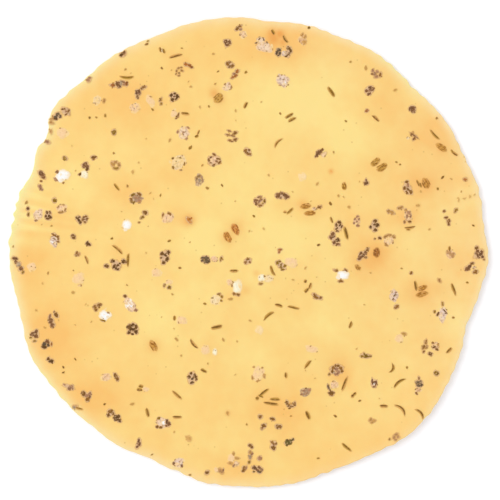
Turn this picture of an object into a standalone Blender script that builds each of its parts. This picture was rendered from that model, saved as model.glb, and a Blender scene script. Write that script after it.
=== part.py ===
# A raw papadum: one thin round of rolled lentil dough with crushed pepper, cumin and
# broken husk pressed into its top face. It lies flat on its middle and its rim lifts
# a little as it has dried. X runs across the round, +Z is up, and the origin is on the
# surface that it rests on, under the middle of its outline.
import math
import random

import bpy

MM = 0.001

# The rolled sheet: its radius, its thickness, and the share of the radius past which the
# rolling pin has thinned it towards the rim
SHEET_RADIUS = 89.0 * MM
SHEET_THICKNESS = 0.5 * MM
RIM_THICKNESS = 0.34 * MM
RIM_TAPER_FROM = 0.96
DOUGH_COLOUR = (0.98, 0.67, 0.24, 1.0)
DOUGH_ROUGHNESS = 0.55

# The part of the sheet that lies flat, and how far the dried rim lifts past it
FLAT_RADIUS = 48.0 * MM
RIM_LIFT = 1.25 * MM
# Waves of the lifted rim: (waves round the sheet, height, degrees where it is highest)
RIM_WAVES = (
    (1, 0.75 * MM, -22.0),
    (2, 0.22 * MM, 110.0),
    (3, 0.18 * MM, 330.0),
)

# Swells and dents of the hand-rolled outline: (degrees, millimetres out, degrees wide)
SWELLS_AND_DENTS = (
    (0, 1.2, 5), (15, 0.9, 7), (32, 0.5, 5), (45, -1.1, 5), (59, 0.3, 3), (68, -0.8, 6),
    (84, -1.5, 7), (112, -0.4, 4), (126, 1.0, 7), (143, 2.5, 8), (150, -2.4, 3.2),
    (160, -2.1, 4), (182, 1.3, 7), (206, 2.0, 7), (217, 0.4, 4), (230, -0.7, 5),
    (245, -2.6, 8), (254, -0.9, 4), (267, -0.5, 8), (291, -0.8, 7), (312, 2.5, 8),
    (322, 1.4, 7), (342, -2.1, 6), (357, 0.7, 3),
)

# The mesh: (share of the radius, points round the ring), from the middle outwards
RINGS = (
    (0.20, 18), (0.37, 36), (0.53, 72), (0.68, 72), (0.80, 144), (0.89, 144),
    (0.955, 144), (1.0, 144),
)

# All the pieces are pressed into the dough to the same depth, and each has a sloping
# shoulder: (share of the piece's height, share of its outline)
PRESSED_IN = 0.22 * MM
SHOULDER = (0.70, 0.74)
SPICE_ROUGHNESS = 0.6

# Each kind of piece: its name, points round it, width over length, height above the dough,
# how uneven its edge is, and its colour
HUSK = ("pepper_husk", 8, 0.80, 0.42 * MM, 0.16, (0.10, 0.055, 0.03, 1.0))
KERNEL = ("pepper_kernel", 8, 0.78, 0.26 * MM, 0.14, (0.88, 0.72, 0.50, 1.0))
SEED = ("cumin_seed", 8, 0.42, 0.50 * MM, 0.05, (0.42, 0.20, 0.06, 1.0))
SLIVER = ("husk_sliver", 6, 0.22, 0.30 * MM, 0.04, (0.13, 0.07, 0.03, 1.0))

# Where the larger pieces lie, in millimetres from the middle: (x, y, length, turn in
# degrees). A sliver has a fifth value, its bend as a share of its length.
HUSKS = (
    (-48.5, 63.5, 6.0, 8), (-72, 51.5, 3.4, 40), (-61.5, 32.5, 3.4, 0), (-50.5, 32.5, 3.6, 0),
    (-8, 79, 3.0, 0), (11.5, 75.5, 3.2, 80), (15.5, 75.5, 4.0, 70), (-22.5, 70.5, 3.4, -20),
    (-26, 68, 3.8, 65), (-7, 70.5, 3.6, -25), (-5, 67, 3.6, 55), (-28, 58.5, 3.8, 20),
    (-6, 44, 4.8, 30), (0, 37.5, 3.2, -30), (-12.5, 34, 5.2, 0), (27, 37, 4.2, 48),
    (48.5, 67, 4.8, -35), (45.5, 61, 3.8, 45), (62, 53.5, 3.0, 0), (63, 43, 4.4, -35),
    (-78, 29, 3.8, -55), (-75.5, 13.5, 3.8, 80), (-63, 12, 4.8, 10), (-42, 20.5, 5.2, 15),
    (-50, -5, 3.8, -30), (-31.5, -2, 5.0, 75), (-86.5, -5, 6.2, -62), (-56.5, -21, 3.6, 40),
    (-74, -27, 3.8, 75), (-43.5, -29, 4.8, 60), (-80.5, -31, 3.6, 60), (-76.5, -35, 3.8, 50),
    (-61, -54.5, 4.6, -45), (-52, -61, 3.2, 60), (-49.5, -63, 3.6, -50), (-30, -64.5, 3.6, -75),
    (-41, -72, 3.6, 75), (-21, -48, 4.0, -60), (-18.5, 27.5, 5.0, 80), (4.5, 19, 4.4, 0),
    (13, 21, 4.8, 0), (-16, -3, 4.0, -10), (12.5, -5, 3.8, -30), (26.5, -17, 3.6, -25),
    (60.5, 24, 5.2, -60), (34.5, 9.5, 4.2, 70), (33, 5, 4.6, -50), (48, 10, 4.6, 60),
    (43, -1.5, 5.4, 45), (87, -0.5, 4.6, -55), (83.5, -6, 3.2, 0), (33.5, -44.5, 5.0, 30),
    (44.5, -39.5, 4.2, 0), (64.5, -49.5, 4.0, 80), (55.5, -69.5, 3.2, 45), (21.5, -53, 4.4, 25),
    (16, -57.5, 3.8, 0), (15.5, -72, 3.6, 25), (10, -73.5, 3.6, -70), (1, -77.5, 4.2, 80),
    (3.5, -82, 5.0, -5), (67, -35.5, 4.6, 78),
)
KERNELS = (
    (-70, 29, 5.0, 20), (-45.5, 10.5, 3.4, 80), (-54, -24, 4.4, 30), (-44.5, -20, 5.2, -55),
    (-4.5, -13, 4.8, -70), (6.5, -10, 5.8, 0), (35, -9, 4.6, -15), (55, -16.5, 5.2, -80),
    (-33, -65, 4.6, 0), (-53.5, -47.5, 3.6, 20), (13, 65, 5.2, -60), (-12, -17.5, 5.0, 0),
    (-14, -37.5, 5.6, -10), (3.5, -46, 5.0, 0), (6, 78.5, 6.8, -15), (20.5, 80, 4.2, -70),
    (-43, 54.5, 4.2, 0), (-36.5, 57.5, 4.4, -60), (-24, 44.5, 5.2, 90), (-26.5, 34, 6.2, 10),
    (-79.5, 14, 4.6, 80), (-70.5, 16.5, 4.2, 0), (-73.5, 4.5, 5.2, -80), (-82, -5.5, 3.8, -20),
    (-64, -10, 5.2, -75), (-30.5, 13, 5.0, -60), (-30.5, -12.5, 3.6, 60), (24, -37, 4.8, -10),
    (53, 4, 4.8, 60), (57.5, -33, 3.6, 0), (76, -1, 3.6, 80), (73.5, -23.5, 6.4, 80),
    (60.5, 13.5, 5.0, 85), (70.5, -35.5, 3.8, 50), (32, -50, 4.6, 80), (-5.5, -78.5, 5.0, -45),
    (-12, -82, 4.4, 0), (-26, -78.5, 4.4, -15),
)
SEEDS = (
    (-5, 8.5, 5.0, -62), (-8, 5.5, 4.8, -60), (21.5, 17, 4.4, 8), (23.5, 14.5, 5.0, 4),
    (48, 34, 4.6, 42), (51, 32, 4.8, 35), (73, 39, 5.0, -35), (65.5, 26, 4.8, -60),
    (65.5, -13, 5.0, 25), (66, -15.5, 4.8, 22), (48.5, 0, 4.0, 75), (-36, -35.5, 4.6, -50),
    (-11, 58, 4.2, 60),
)
SLIVERS = (
    (-46, 66, 5.2, 0, 0.08), (-27.5, 74, 5.0, 15, 0), (14, 80, 3.6, -58, 0.06),
    (31.5, 60.5, 4.6, -55, 0), (15.5, 51.5, 3.6, 32, 0), (16.5, 50, 3.4, 28, 0),
    (11, 41.5, 4.6, 48, -0.14), (48, 50.5, 3.4, -40, 0), (70.5, 44, 4.8, -42, 0),
    (-49.5, 1, 4.8, -42, -0.05), (-45.5, -3, 5.0, 88, 0), (-61, -3, 3.6, -72, -0.06),
    (16, 15.5, 3.6, 50, 0), (9, -7, 4.2, -66, 0.05), (23, -13.5, 5.2, 65, 0),
    (17, -21, 4.6, -12, 0), (7.5, -24, 5.0, 38, -0.08), (-11.5, -28.5, 4.4, 12, 0),
    (37, 7, 5.0, -76, 0), (61, 9, 4.0, 8, 0.06), (77.5, -14, 5.0, -70, 0),
    (-63.5, -58.5, 4.0, -5, 0), (-21, -35, 4.6, -50, 0.12), (-27, -54, 4.6, -42, 0),
    (-27, -62.3, 3.6, 0, 0), (-38, -61, 3.6, -70, 0), (22.5, -42.5, 3.8, 52, 0),
    (6, -53.5, 5.0, 38, -0.04), (9, -57.2, 5.8, -8, 0), (22.5, -61.5, 3.8, -65, 0),
    (36.5, -49.5, 5.8, 68, 0), (54.5, -44, 3.8, 72, -0.22), (56.5, -49, 5.6, 38, -0.14),
    (58, -59, 5.6, -48, -0.2), (65, -60.5, 4.6, -52, -0.16), (37, -73.5, 4.6, -42, 0),
)
# Seed of the pieces' uneven edges, and the least angle of an edge that looks sharp
EDGE_SEED = 7
SHARP_EDGE_ANGLE = math.radians(35.0)


def rim_radius(degrees):
    """Distance from the sheet's centre to its rim, at an angle."""
    radius = SHEET_RADIUS
    for middle, out, wide in SWELLS_AND_DENTS:
        away = (degrees - middle + 180.0) % 360.0 - 180.0
        radius += out * MM * math.exp(-((away / wide) ** 2))
    return radius


def sheet_centre():
    """Centre that puts the middle of the outline's bounds over the origin."""
    steps = RINGS[-1][1]
    xs = []
    ys = []
    for step in range(steps):
        angle = math.tau * step / steps
        radius = rim_radius(math.degrees(angle))
        xs.append(radius * math.cos(angle))
        ys.append(radius * math.sin(angle))
    return -(max(xs) + min(xs)) / 2.0, -(max(ys) + min(ys)) / 2.0


def underside(x, y):
    """Height of the underside: flat in the middle, lifting towards the dried rim."""
    past_flat = (math.hypot(x, y) - FLAT_RADIUS) / (SHEET_RADIUS - FLAT_RADIUS)
    if past_flat <= 0.0:
        return 0.0
    angle = math.atan2(y, x)
    lift = RIM_LIFT
    for waves, height, highest in RIM_WAVES:
        lift += height * math.cos(waves * (angle - math.radians(highest)))
    return lift * past_flat ** 2


def ring_of_points(share, count, centre):
    """Points round the sheet at a share of its radius, rounder towards the middle."""
    points = []
    for step in range(count):
        angle = math.tau * step / count
        uneven = rim_radius(math.degrees(angle)) - SHEET_RADIUS
        radius = share * (SHEET_RADIUS + uneven * share ** 2)
        points.append((centre[0] + radius * math.cos(angle), centre[1] + radius * math.sin(angle)))
    return points


def face_triangles():
    """Corners of one face's triangles, by point number, facing up."""
    triangles = []
    inner_start = 1
    inner_count = RINGS[0][1]
    for step in range(inner_count):
        triangles.append((0, 1 + step, 1 + (step + 1) % inner_count))
    for share, count in RINGS[1:]:
        outer_start = inner_start + inner_count
        for step in range(inner_count):
            inner = inner_start + step
            inner_next = inner_start + (step + 1) % inner_count
            if count == inner_count:
                outer = outer_start + step
                outer_next = outer_start + (step + 1) % count
                triangles.append((inner, outer, outer_next))
                triangles.append((inner, outer_next, inner_next))
            else:
                outer = outer_start + 2 * step
                outer_next = outer_start + (2 * step + 2) % count
                triangles.append((inner, outer, outer + 1))
                triangles.append((inner, outer + 1, inner_next))
                triangles.append((inner_next, outer + 1, outer_next))
        inner_start = outer_start
        inner_count = count
    return triangles


def finish(name, colour, roughness):
    """A plain finish for one kind of material."""
    material = bpy.data.materials.new(name)
    material.use_nodes = True
    surface = material.node_tree.nodes["Principled BSDF"]
    surface.inputs["Base Color"].default_value = colour
    surface.inputs["Roughness"].default_value = roughness
    surface.inputs["Metallic"].default_value = 0.0
    return material


def mesh_object(name, points, faces, material, collection):
    mesh = bpy.data.meshes.new(name)
    mesh.from_pydata(points, [], faces)
    mesh.materials.append(material)
    mesh.validate()
    piece = bpy.data.objects.new(name, mesh)
    collection.objects.link(piece)
    return piece


def rolled_sheet():
    """The dough, its two faces split into triangles alike."""
    centre = sheet_centre()
    plan = [centre]
    thickness = [SHEET_THICKNESS]
    for share, count in RINGS:
        taper = max(0.0, (share - RIM_TAPER_FROM) / (1.0 - RIM_TAPER_FROM))
        ring_thickness = SHEET_THICKNESS + (RIM_THICKNESS - SHEET_THICKNESS) * taper
        plan.extend(ring_of_points(share, count, centre))
        thickness.extend([ring_thickness] * count)
    below = []
    above = []
    for (x, y), thick in zip(plan, thickness):
        bottom = underside(x, y) + (SHEET_THICKNESS - thick) / 2.0
        below.append((x, y, bottom))
        above.append((x, y, bottom + thick))
    total = len(plan)
    faces = []
    for a, b, c in face_triangles():
        faces.append((a + total, b + total, c + total))
        faces.append((a, c, b))
    rim_count = RINGS[-1][1]
    rim_start = total - rim_count
    for step in range(rim_count):
        here = rim_start + step
        after = rim_start + (step + 1) % rim_count
        faces.append((here, after, after + total))
        faces.append((here, after + total, here + total))
    dough = finish("dough", DOUGH_COLOUR, DOUGH_ROUGHNESS)
    return mesh_object("papadum", below + above, faces, dough, bpy.context.scene.collection)


def pressed_piece(kind, place, material, rng, collection):
    """One low lump that follows the sheet's top face, its foot inside the dough."""
    name, sides, width_share, height, uneven, colour = kind
    x_middle, y_middle, length, turn = place[:4]
    bend = place[4] if len(place) > 4 else 0.0
    half_length = length * MM / 2.0
    half_width = half_length * width_share
    turn = math.radians(turn)
    outline = []
    for side in range(sides):
        angle = math.tau * side / sides
        reach = 1.0 + rng.uniform(-uneven, uneven)
        along = half_length * reach * math.cos(angle)
        across = half_width * reach * math.sin(angle)
        across += bend * length * MM * (along / half_length) ** 2
        outline.append((along, across))
    points = []
    shoulder_height, shoulder_spread = SHOULDER
    for level, spread in ((-PRESSED_IN, 1.0), (height * shoulder_height, shoulder_spread)):
        for along, across in outline:
            x = x_middle * MM + spread * (along * math.cos(turn) - across * math.sin(turn))
            y = y_middle * MM + spread * (along * math.sin(turn) + across * math.cos(turn))
            points.append((x, y, underside(x, y) + SHEET_THICKNESS + level))
    x = x_middle * MM
    y = y_middle * MM
    points.append((x, y, underside(x, y) + SHEET_THICKNESS + height))
    faces = [tuple(reversed(range(sides)))]
    for side in range(sides):
        after = (side + 1) % sides
        faces.append((side, after, sides + after))
        faces.append((side, sides + after, sides + side))
        faces.append((sides + side, sides + after, 2 * sides))
    return mesh_object(name, points, faces, material, collection)


def press_spices_into(sheet):
    """Join every pressed piece to the dough, so that the papadum is one solid."""
    spices = bpy.data.collections.new("spices")
    bpy.context.scene.collection.children.link(spices)
    rng = random.Random(EDGE_SEED)
    for kind, places in ((KERNEL, KERNELS), (HUSK, HUSKS), (SEED, SEEDS), (SLIVER, SLIVERS)):
        material = finish(kind[0], kind[-1], SPICE_ROUGHNESS)
        for place in places:
            pressed_piece(kind, place, material, rng, spices)
    union = sheet.modifiers.new("spices", "BOOLEAN")
    union.operation = "UNION"
    union.operand_type = "COLLECTION"
    union.collection = spices
    union.material_mode = "TRANSFER"
    bpy.context.view_layer.objects.active = sheet
    bpy.ops.object.modifier_apply(modifier=union.name)
    for piece in list(spices.objects):
        bpy.data.objects.remove(piece)
    bpy.data.collections.remove(spices)


for leftover in list(bpy.data.objects):
    bpy.data.objects.remove(leftover)

papadum = rolled_sheet()
press_spices_into(papadum)
papadum.data.shade_smooth()
papadum.data.set_sharp_from_angle(angle=SHARP_EDGE_ANGLE)
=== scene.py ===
# A raw papadum as it comes out of its packet: a thin round of rolled lentil dough with
# cracked pepper, cumin and splinters of husk pressed into its top face.
import math

import bpy
import numpy as np
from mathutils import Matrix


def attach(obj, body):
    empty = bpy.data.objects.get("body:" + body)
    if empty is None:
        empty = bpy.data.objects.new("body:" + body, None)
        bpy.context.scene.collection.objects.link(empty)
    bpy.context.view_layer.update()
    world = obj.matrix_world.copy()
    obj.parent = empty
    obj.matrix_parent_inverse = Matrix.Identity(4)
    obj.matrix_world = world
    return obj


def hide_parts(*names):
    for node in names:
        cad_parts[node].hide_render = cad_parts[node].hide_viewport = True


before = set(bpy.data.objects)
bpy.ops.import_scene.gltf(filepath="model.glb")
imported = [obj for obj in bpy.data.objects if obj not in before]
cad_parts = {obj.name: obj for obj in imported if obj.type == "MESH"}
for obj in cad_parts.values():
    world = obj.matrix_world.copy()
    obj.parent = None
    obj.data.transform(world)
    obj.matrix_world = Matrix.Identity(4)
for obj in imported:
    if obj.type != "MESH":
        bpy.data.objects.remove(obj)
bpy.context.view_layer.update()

# The rolled sheet
# A stiff dough of lentil flour, rolled by hand to half a millimetre and dried. It lies flat
# on its middle, its thinned rim lifts a little, and it puckers where the rim dried fastest.
MM = 0.001
SHEET_RADIUS = 89.0 * MM
SHEET_THICKNESS = 0.5 * MM
RIM_THICKNESS = 0.34 * MM
RIM_TAPER_FROM = 0.96
FLAT_RADIUS = 48.0 * MM
RIM_LIFT = 1.25 * MM
# Waves of the lifted rim: (waves round the sheet, height, degrees where it is highest)
RIM_WAVES = ((1, 0.75 * MM, -22.0), (2, 0.22 * MM, 110.0), (3, 0.18 * MM, 330.0))
# Swells and dents of the outline: (degrees, millimetres out, degrees wide)
SWELLS_AND_DENTS = (
    (0, 1.2, 5), (15, 0.9, 7), (32, 0.5, 5), (45, -1.1, 5), (59, 0.3, 3), (68, -0.8, 6),
    (84, -1.5, 7), (112, -0.4, 4), (126, 1.0, 7), (143, 2.5, 8), (150, -2.4, 3.2),
    (160, -2.1, 4), (182, 1.3, 7), (206, 2.0, 7), (217, 0.4, 4), (230, -0.7, 5),
    (245, -2.6, 8), (254, -0.9, 4), (267, -0.5, 8), (291, -0.8, 7), (312, 2.5, 8),
    (322, 1.4, 7), (342, -2.1, 6), (357, 0.7, 3),
)
# Steps round the outline when the middle of its bounds is worked out
OUTLINE_STEPS = 144
# Puckers where the rim dried fastest: (degrees, degrees wide, height, reach inwards), the last
# two in millimetres, and how far each pushes the outline out, as a share of its height
PUCKERS = (
    (162.6, 1.2, 0.14, 6.0), (165.4, 1.0, 0.28, 8.0), (168.4, 0.65, 0.28, 9.0),
    (170.8, 0.75, 0.30, 9.0), (173.6, 0.95, 0.30, 11.0), (177.2, 1.5, 0.24, 7.0),
    (12.2, 1.2, 0.12, 9.0), (15.8, 1.4, 0.14, 9.0),
)
PUCKER_BULGE = 2.8
# Fine raggedness of the rim: how many waves round it, and the least and most of them
RAGGED_WAVES = 14
RAGGED_FROM = 22
RAGGED_TO = 130
RAGGED_HEIGHT = 0.045 * MM
# How fast the raggedness and the puckers' push fade inwards, as powers of the radius
RAGGED_FADES = 30
BULGE_FADES = 60
# Gentle unevenness that the rolling pin leaves: how many waves, their height and lengths
PIN_WAVES = 16
PIN_HEIGHT = 0.012 * MM
PIN_SHORTEST = 7.0 * MM
PIN_LONGEST = 30.0 * MM
# The mesh: the gap between rings, and the sectors of each ring out to a radius
RING_GAP = 0.8 * MM
SECTORS = (
    (11.0 * MM, 90), (22.0 * MM, 180), (44.0 * MM, 360), (81.0 * MM, 720), (200.0 * MM, 1440),
)
EDGE_ROUNDING = 0.18 * MM
# The rounded edge, from the top face to the underside: (share of the rounding, level)
EDGE_PROFILE = ((1.0, 1.0), (0.35, 0.8), (0.0, 0.0), (0.35, -0.8), (1.0, -1.0))

rolling = np.random.default_rng(4)
ragged_turns = [
    (int(rolling.integers(RAGGED_FROM, RAGGED_TO)), rolling.uniform(0.0, math.tau))
    for wave in range(RAGGED_WAVES)
]
pin_marks = [
    (rolling.uniform(PIN_SHORTEST, PIN_LONGEST), rolling.uniform(0.0, math.tau),
     rolling.uniform(0.0, math.tau))
    for wave in range(PIN_WAVES)
]


def near_angle(degrees, middle, wide):
    """One at an angle round the sheet, fading over some degrees on both sides of it."""
    away = (degrees - middle + 180.0) % 360.0 - 180.0
    return np.exp(-((away / wide) ** 2))


def rim_radius(degrees):
    """Distance from the sheet's centre to its smooth outline, at each angle."""
    radius = np.full_like(degrees, SHEET_RADIUS)
    for middle, out, wide in SWELLS_AND_DENTS:
        radius += out * MM * near_angle(degrees, middle, wide)
    return radius


def outline_centre():
    """Centre that puts the middle of the outline's bounds over the origin."""
    angles = math.tau * np.arange(OUTLINE_STEPS) / OUTLINE_STEPS
    radius = rim_radius(np.degrees(angles))
    xs = radius * np.cos(angles)
    ys = radius * np.sin(angles)
    return -(xs.max() + xs.min()) / 2.0, -(ys.max() + ys.min()) / 2.0


centre_x, centre_y = outline_centre()


def from_the_rim(x, y):
    """Degrees round the sheet, and distance inwards from its smooth outline."""
    degrees = np.degrees(np.arctan2(y - centre_y, x - centre_x)) % 360.0
    return degrees, rim_radius(degrees) - np.hypot(x - centre_x, y - centre_y)


def pucker(degrees, inwards):
    """How far the puckers lift the sheet."""
    lift = np.zeros_like(degrees)
    for middle, wide, height, reach in PUCKERS:
        fading = np.exp(-np.maximum(inwards, 0.0) / (reach * MM))
        lift += height * MM * near_angle(degrees, middle, wide) * fading
    return lift


def underside(x, y):
    """Height of the underside: flat in the middle, lifting towards the dried rim."""
    past_flat = (np.hypot(x, y) - FLAT_RADIUS) / (SHEET_RADIUS - FLAT_RADIUS)
    angle = np.arctan2(y, x)
    lift = np.full_like(x, RIM_LIFT)
    for waves, height, highest in RIM_WAVES:
        lift += height * np.cos(waves * (angle - math.radians(highest)))
    degrees, inwards = from_the_rim(x, y)
    return lift * np.maximum(past_flat, 0.0) ** 2 + pucker(degrees, inwards)


def pin_unevenness(x, y):
    """Small waves that the rolling pin left in the top face."""
    height = np.zeros_like(x)
    for length, heading, phase in pin_marks:
        along = x * math.cos(heading) + y * math.sin(heading)
        height += PIN_HEIGHT * np.cos(math.tau * along / length + phase)
    return height


def top_of_sheet(x, y):
    """Height of the sheet's top face, away from its thinned rim."""
    return underside(x, y) + SHEET_THICKNESS + pin_unevenness(x, y)


def sheet_rings():
    """Rings from the middle of the top face, round the edge, to the middle of the underside.

    Each is (radius as a share, points, level), with level 1 on the top and -1 underneath,
    where there are half as many rings, with half as many points.
    """
    inner_edge = 1.0 - EDGE_ROUNDING / SHEET_RADIUS
    top = []
    radius = RING_GAP
    while radius < inner_edge * SHEET_RADIUS - RING_GAP / 2.0:
        count = next(sectors for reach, sectors in SECTORS if radius < reach)
        top.append((radius / SHEET_RADIUS, count, 1.0))
        radius += RING_GAP
    edge = [
        (1.0 - rounding * EDGE_ROUNDING / SHEET_RADIUS, SECTORS[-1][1], level)
        for rounding, level in EDGE_PROFILE
    ]
    under = [(share, count // 2, -1.0) for share, count, level in top[::-2]]
    return [(0.0, 1, 1.0), *top, *edge, *under, (0.0, 1, -1.0)]


def rolled_sheet():
    """The sheet's points and faces, as one closed skin."""
    rings = sheet_rings()
    xs = []
    ys = []
    levels = []
    shares = []
    for share, count, level in rings:
        angles = math.tau * np.arange(count) / count
        degrees = np.degrees(angles)
        uneven = rim_radius(degrees) - SHEET_RADIUS
        for waves, phase in ragged_turns:
            uneven += RAGGED_HEIGHT * np.cos(waves * angles + phase) * share ** RAGGED_FADES
        bulge = PUCKER_BULGE * pucker(degrees, np.zeros_like(degrees)) * share ** BULGE_FADES
        radius = share * (SHEET_RADIUS + uneven * share ** 2 + bulge)
        xs.append(centre_x + radius * np.cos(angles))
        ys.append(centre_y + radius * np.sin(angles))
        levels.append(np.full(count, level))
        shares.append(np.full(count, share))
    x = np.concatenate(xs)
    y = np.concatenate(ys)
    level = np.concatenate(levels)
    taper = np.clip((np.concatenate(shares) - RIM_TAPER_FROM) / (1.0 - RIM_TAPER_FROM), 0.0, 1.0)
    thick = SHEET_THICKNESS + (RIM_THICKNESS - SHEET_THICKNESS) * taper
    z = underside(x, y) + SHEET_THICKNESS / 2.0 + level * thick / 2.0
    z += np.maximum(level, 0.0) * pin_unevenness(x, y)
    faces = []
    start = 0
    counts = [count for share, count, level in rings]
    for count, next_count in zip(counts, counts[1:]):
        faces.extend(faces_between(start, count, start + count, next_count))
        start += count
    return np.column_stack((x, y, z)), faces


def faces_between(first, count, second, next_count):
    """Faces from a ring to the next: one has as many points, twice as many, or just one."""
    faces = []
    for step in range(max(count, next_count)):
        if count == 1:
            faces.append((first, second + step, second + (step + 1) % next_count))
        elif next_count == 1:
            faces.append((first + step, second, first + (step + 1) % count))
        elif count == next_count:
            after = (step + 1) % count
            faces.append((first + step, second + step, second + after, first + after))
        elif next_count == 2 * count and step < count:
            here = second + 2 * step
            after = second + (2 * step + 2) % next_count
            faces.append((first + step, here, here + 1))
            faces.append((first + step, here + 1, first + (step + 1) % count))
            faces.append((first + (step + 1) % count, here + 1, after))
        elif count == 2 * next_count and step < next_count:
            here = first + 2 * step
            after = first + (2 * step + 2) % count
            faces.append((here, second + step, here + 1))
            faces.append((here + 1, second + step, second + (step + 1) % next_count))
            faces.append((here + 1, second + (step + 1) % next_count, after))
    return faces


# How the dough's colour wanders: (x, y, half width, half height, how pale), in millimetres,
# and below zero for a more orange patch
DOUGH_PATCHES = (
    (10, 78, 17, 7, -1.0), (52, 57, 10, 8, -0.45), (71, 45, 9, 8, -1.1), (49, 31, 8, 6, -0.4),
    (69, 26, 13, 6, -1.0), (60, 14, 8, 6, -0.7), (46, -2, 8, 8, -1.2), (64, -15, 9, 6, -0.8),
    (81, -4, 8, 6, -0.8), (-43, 57, 16, 9, -0.7), (-27, 71, 6, 5, -0.5), (-24, 52, 5, 5, -0.4),
    (-44, 23, 8, 5, -0.8), (-26, 31, 10, 6, -0.4), (-25, 14, 8, 5, -0.6), (-49, 0, 5, 7, -0.6),
    (-82, -3, 7, 9, -0.7), (-75, -30, 9, 10, -1.3), (-59, -55, 11, 8, -1.2), (-71, 14, 7, 6, -0.5),
    (14, -58, 12, 9, -1.0), (35, -45, 4, 6, -0.6), (-3, -81, 8, 5, -0.6), (-6, -16, 5, 3, -0.5),
    (20, 17, 9, 5, -0.5), (38, 10, 6, 6, -0.5), (69, -35, 6, 4, -0.4), (16, -12, 12, 9, -0.3),
    (23, 59, 13, 10, 0.9), (37, 44, 9, 8, 1.0), (6, 54, 12, 14, 0.6), (-5, 24, 9, 10, 0.5),
    (-17, 5, 7, 7, 1.1), (13, 6, 13, 8, 0.9), (-35, -25, 7, 10, 0.8), (-21, -16, 8, 8, 0.5),
    (30, -28, 9, 6, 0.4), (-64, 24, 9, 8, 0.7), (79, -26, 6, 7, 1.0), (63, 4, 7, 6, 0.4),
    (-3, -39, 12, 7, 0.4), (-13, -70, 8, 6, 0.3), (-78, 47, 8, 12, 0.5), (64, 61, 6, 5, 0.9),
)
# Orange stains where the cumin's oil has run: (x, y, radius, strength), in millimetres
OIL_STAINS = (
    (-5, 9, 3.2, 0.6), (-8, 5.5, 3.2, 0.7), (20.5, 18, 2.2, 0.6), (24, 15, 3.0, 0.3),
    (49.5, 33, 4.6, 0.25), (73, 38.5, 3.4, 0.3), (66, 25, 4.2, 0.45), (65, -15, 4.6, 0.45),
    (48, -1, 3.6, 0.7), (44, -3, 5.0, 0.35), (-36, -35.5, 2.8, 0.6), (-13, 60, 2.0, 1.0),
    (-11, 57.5, 2.4, 0.5), (-22.5, 12, 2.2, 1.2), (9, 82.2, 1.9, 1.2), (9.6, 80.6, 2.4, 1.3),
    (11.8, 82.2, 1.6, 1.5), (12.8, 79.2, 1.5, 1.0), (31.2, 30.5, 0.9, 1.3), (33, -45, 5.0, 0.35),
    (-1, -14.5, 1.8, 0.4), (-7.8, -61, 1.1, 0.8), (36.5, -48, 2.6, 0.35),
    (3, -8, 1.2, 0.5), (60, 13, 3.4, 0.35), (-14, -37, 3.4, 0.3), (71.5, -14, 3.0, 0.3),
)
# How far inwards the rim is paler
RIM_PALES_OVER = 2.4 * MM
# The middle dried less than the outer part, which is a little more orange
PALE_IN_THE_MIDDLE = 0.35
PALE_LOST_OUTWARDS = 0.45
# The limits of how pale the dough is
MOST_ORANGE = -1.6
MOST_PALE = 1.8
# Daylight colours
DOUGH_ORANGE = (252, 198, 114)
DOUGH_PALE = (255, 226, 143)
# Painted light where the thinnest rim lets light through
DOUGH_RIM = (252, 226, 168)
DOUGH_THIN_RIM_LIGHT = (246, 236, 160)
DOUGH_STAIN = (242, 170, 88)
DOUGH_FLECK = (214, 170, 92)
# How brightly the studio lights a white surface, how much of that is sheen, and the darkest
# and lightest that a surface may be
STUDIO_WHITE = 1.08
SHEEN_OF_LIGHT = 0.02
DARKEST = 0.003
LIGHTEST = 0.97
# The mottling of the dough: how strong its patches, its oil stains and its pale rim are, and
# how much the blotches break up that rim
PATCH_STRENGTH = 0.56
STAIN_STRENGTH = 0.75
RIM_STRENGTH = 0.6
RIM_BLOTCHES = 0.8
# The size and strength of its clouds and its blotches
CLOUD_SIZE = 22.0 * MM
CLOUD_STRENGTH = 0.8
BLOTCH_SIZE = 5.0 * MM
BLOTCH_STRENGTH = 0.5
# The flecks of bran in its flour: the gap between them, their soft edge as shares of that gap,
# the fields that have them and how strong they are
FLECK_GAP = 3.4 * MM
FLECK_EDGE = (0.05, 0.13)
FLECK_FIELD = 7.0 * MM
FLECK_FIELD_EDGE = (0.52, 0.60)
FLECK_STRENGTH = 0.55
# Sides of the sheet, each (degrees, width, strength): where the rim is thinnest and lets
# light through, painted there as a paler colour, where the dough dried first and is paler,
# and where it dried last
THIN_RIM_LIGHT_SIDES = ((168.0, 22.0, 1.0), (133.0, 12.0, 0.6), (214.0, 16.0, 0.6), (50.0, 9.0, 0.6))
DRY_SIDES = ((0.0, 42.0, 0.38), (66.0, 14.0, 0.2))
MOIST_SIDES = ((300.0, 32.0, 0.6),)
# How far inwards the thin rim's painted light and the dry sides reach, and how much a pucker
# that is as high as the first one pales the dough, a painted highlight along the raised puckers
THIN_RIM_LIGHT_OVER = 1.3 * MM
DRY_SIDE_OVER = 30.0 * MM
PUCKER_HIGHLIGHT = 0.9
DOUGH_ROUGHNESS = 0.55
DOUGH_GLOSS = 0.35
# Patches of duller and shinier dough, and the low relief of the face with the flour's grain
SHEEN_PATCH = 6.0 * MM
SHEEN_CHANGE = 0.16
RELIEF_SIZE = 2.4 * MM
RELIEF_DEPTH = 0.02 * MM
GRAIN_SIZE = 0.5 * MM
GRAIN_STRENGTH = 0.35
# The light that soaks into the dough: how much, how far each colour goes, and the scale
SOAKED_LIGHT = 0.15
SOAKED_COLOURS = (1.0, 0.6, 0.25)
SOAKED_DEPTH = 0.6 * MM


def by_eye(shade):
    """The surface colour that looks like this shade, 0 to 255, under the studio lights."""
    linear = []
    for value in shade:
        share = value / 255.0
        # The standard curve from the shade of a screen to its light
        light = share / 12.92 if share <= 0.04045 else ((share + 0.055) / 1.055) ** 2.4
        linear.append(min(LIGHTEST, max(DARKEST, (light - SHEEN_OF_LIGHT) / STUDIO_WHITE)))
    return (*linear, 1.0)


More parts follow.
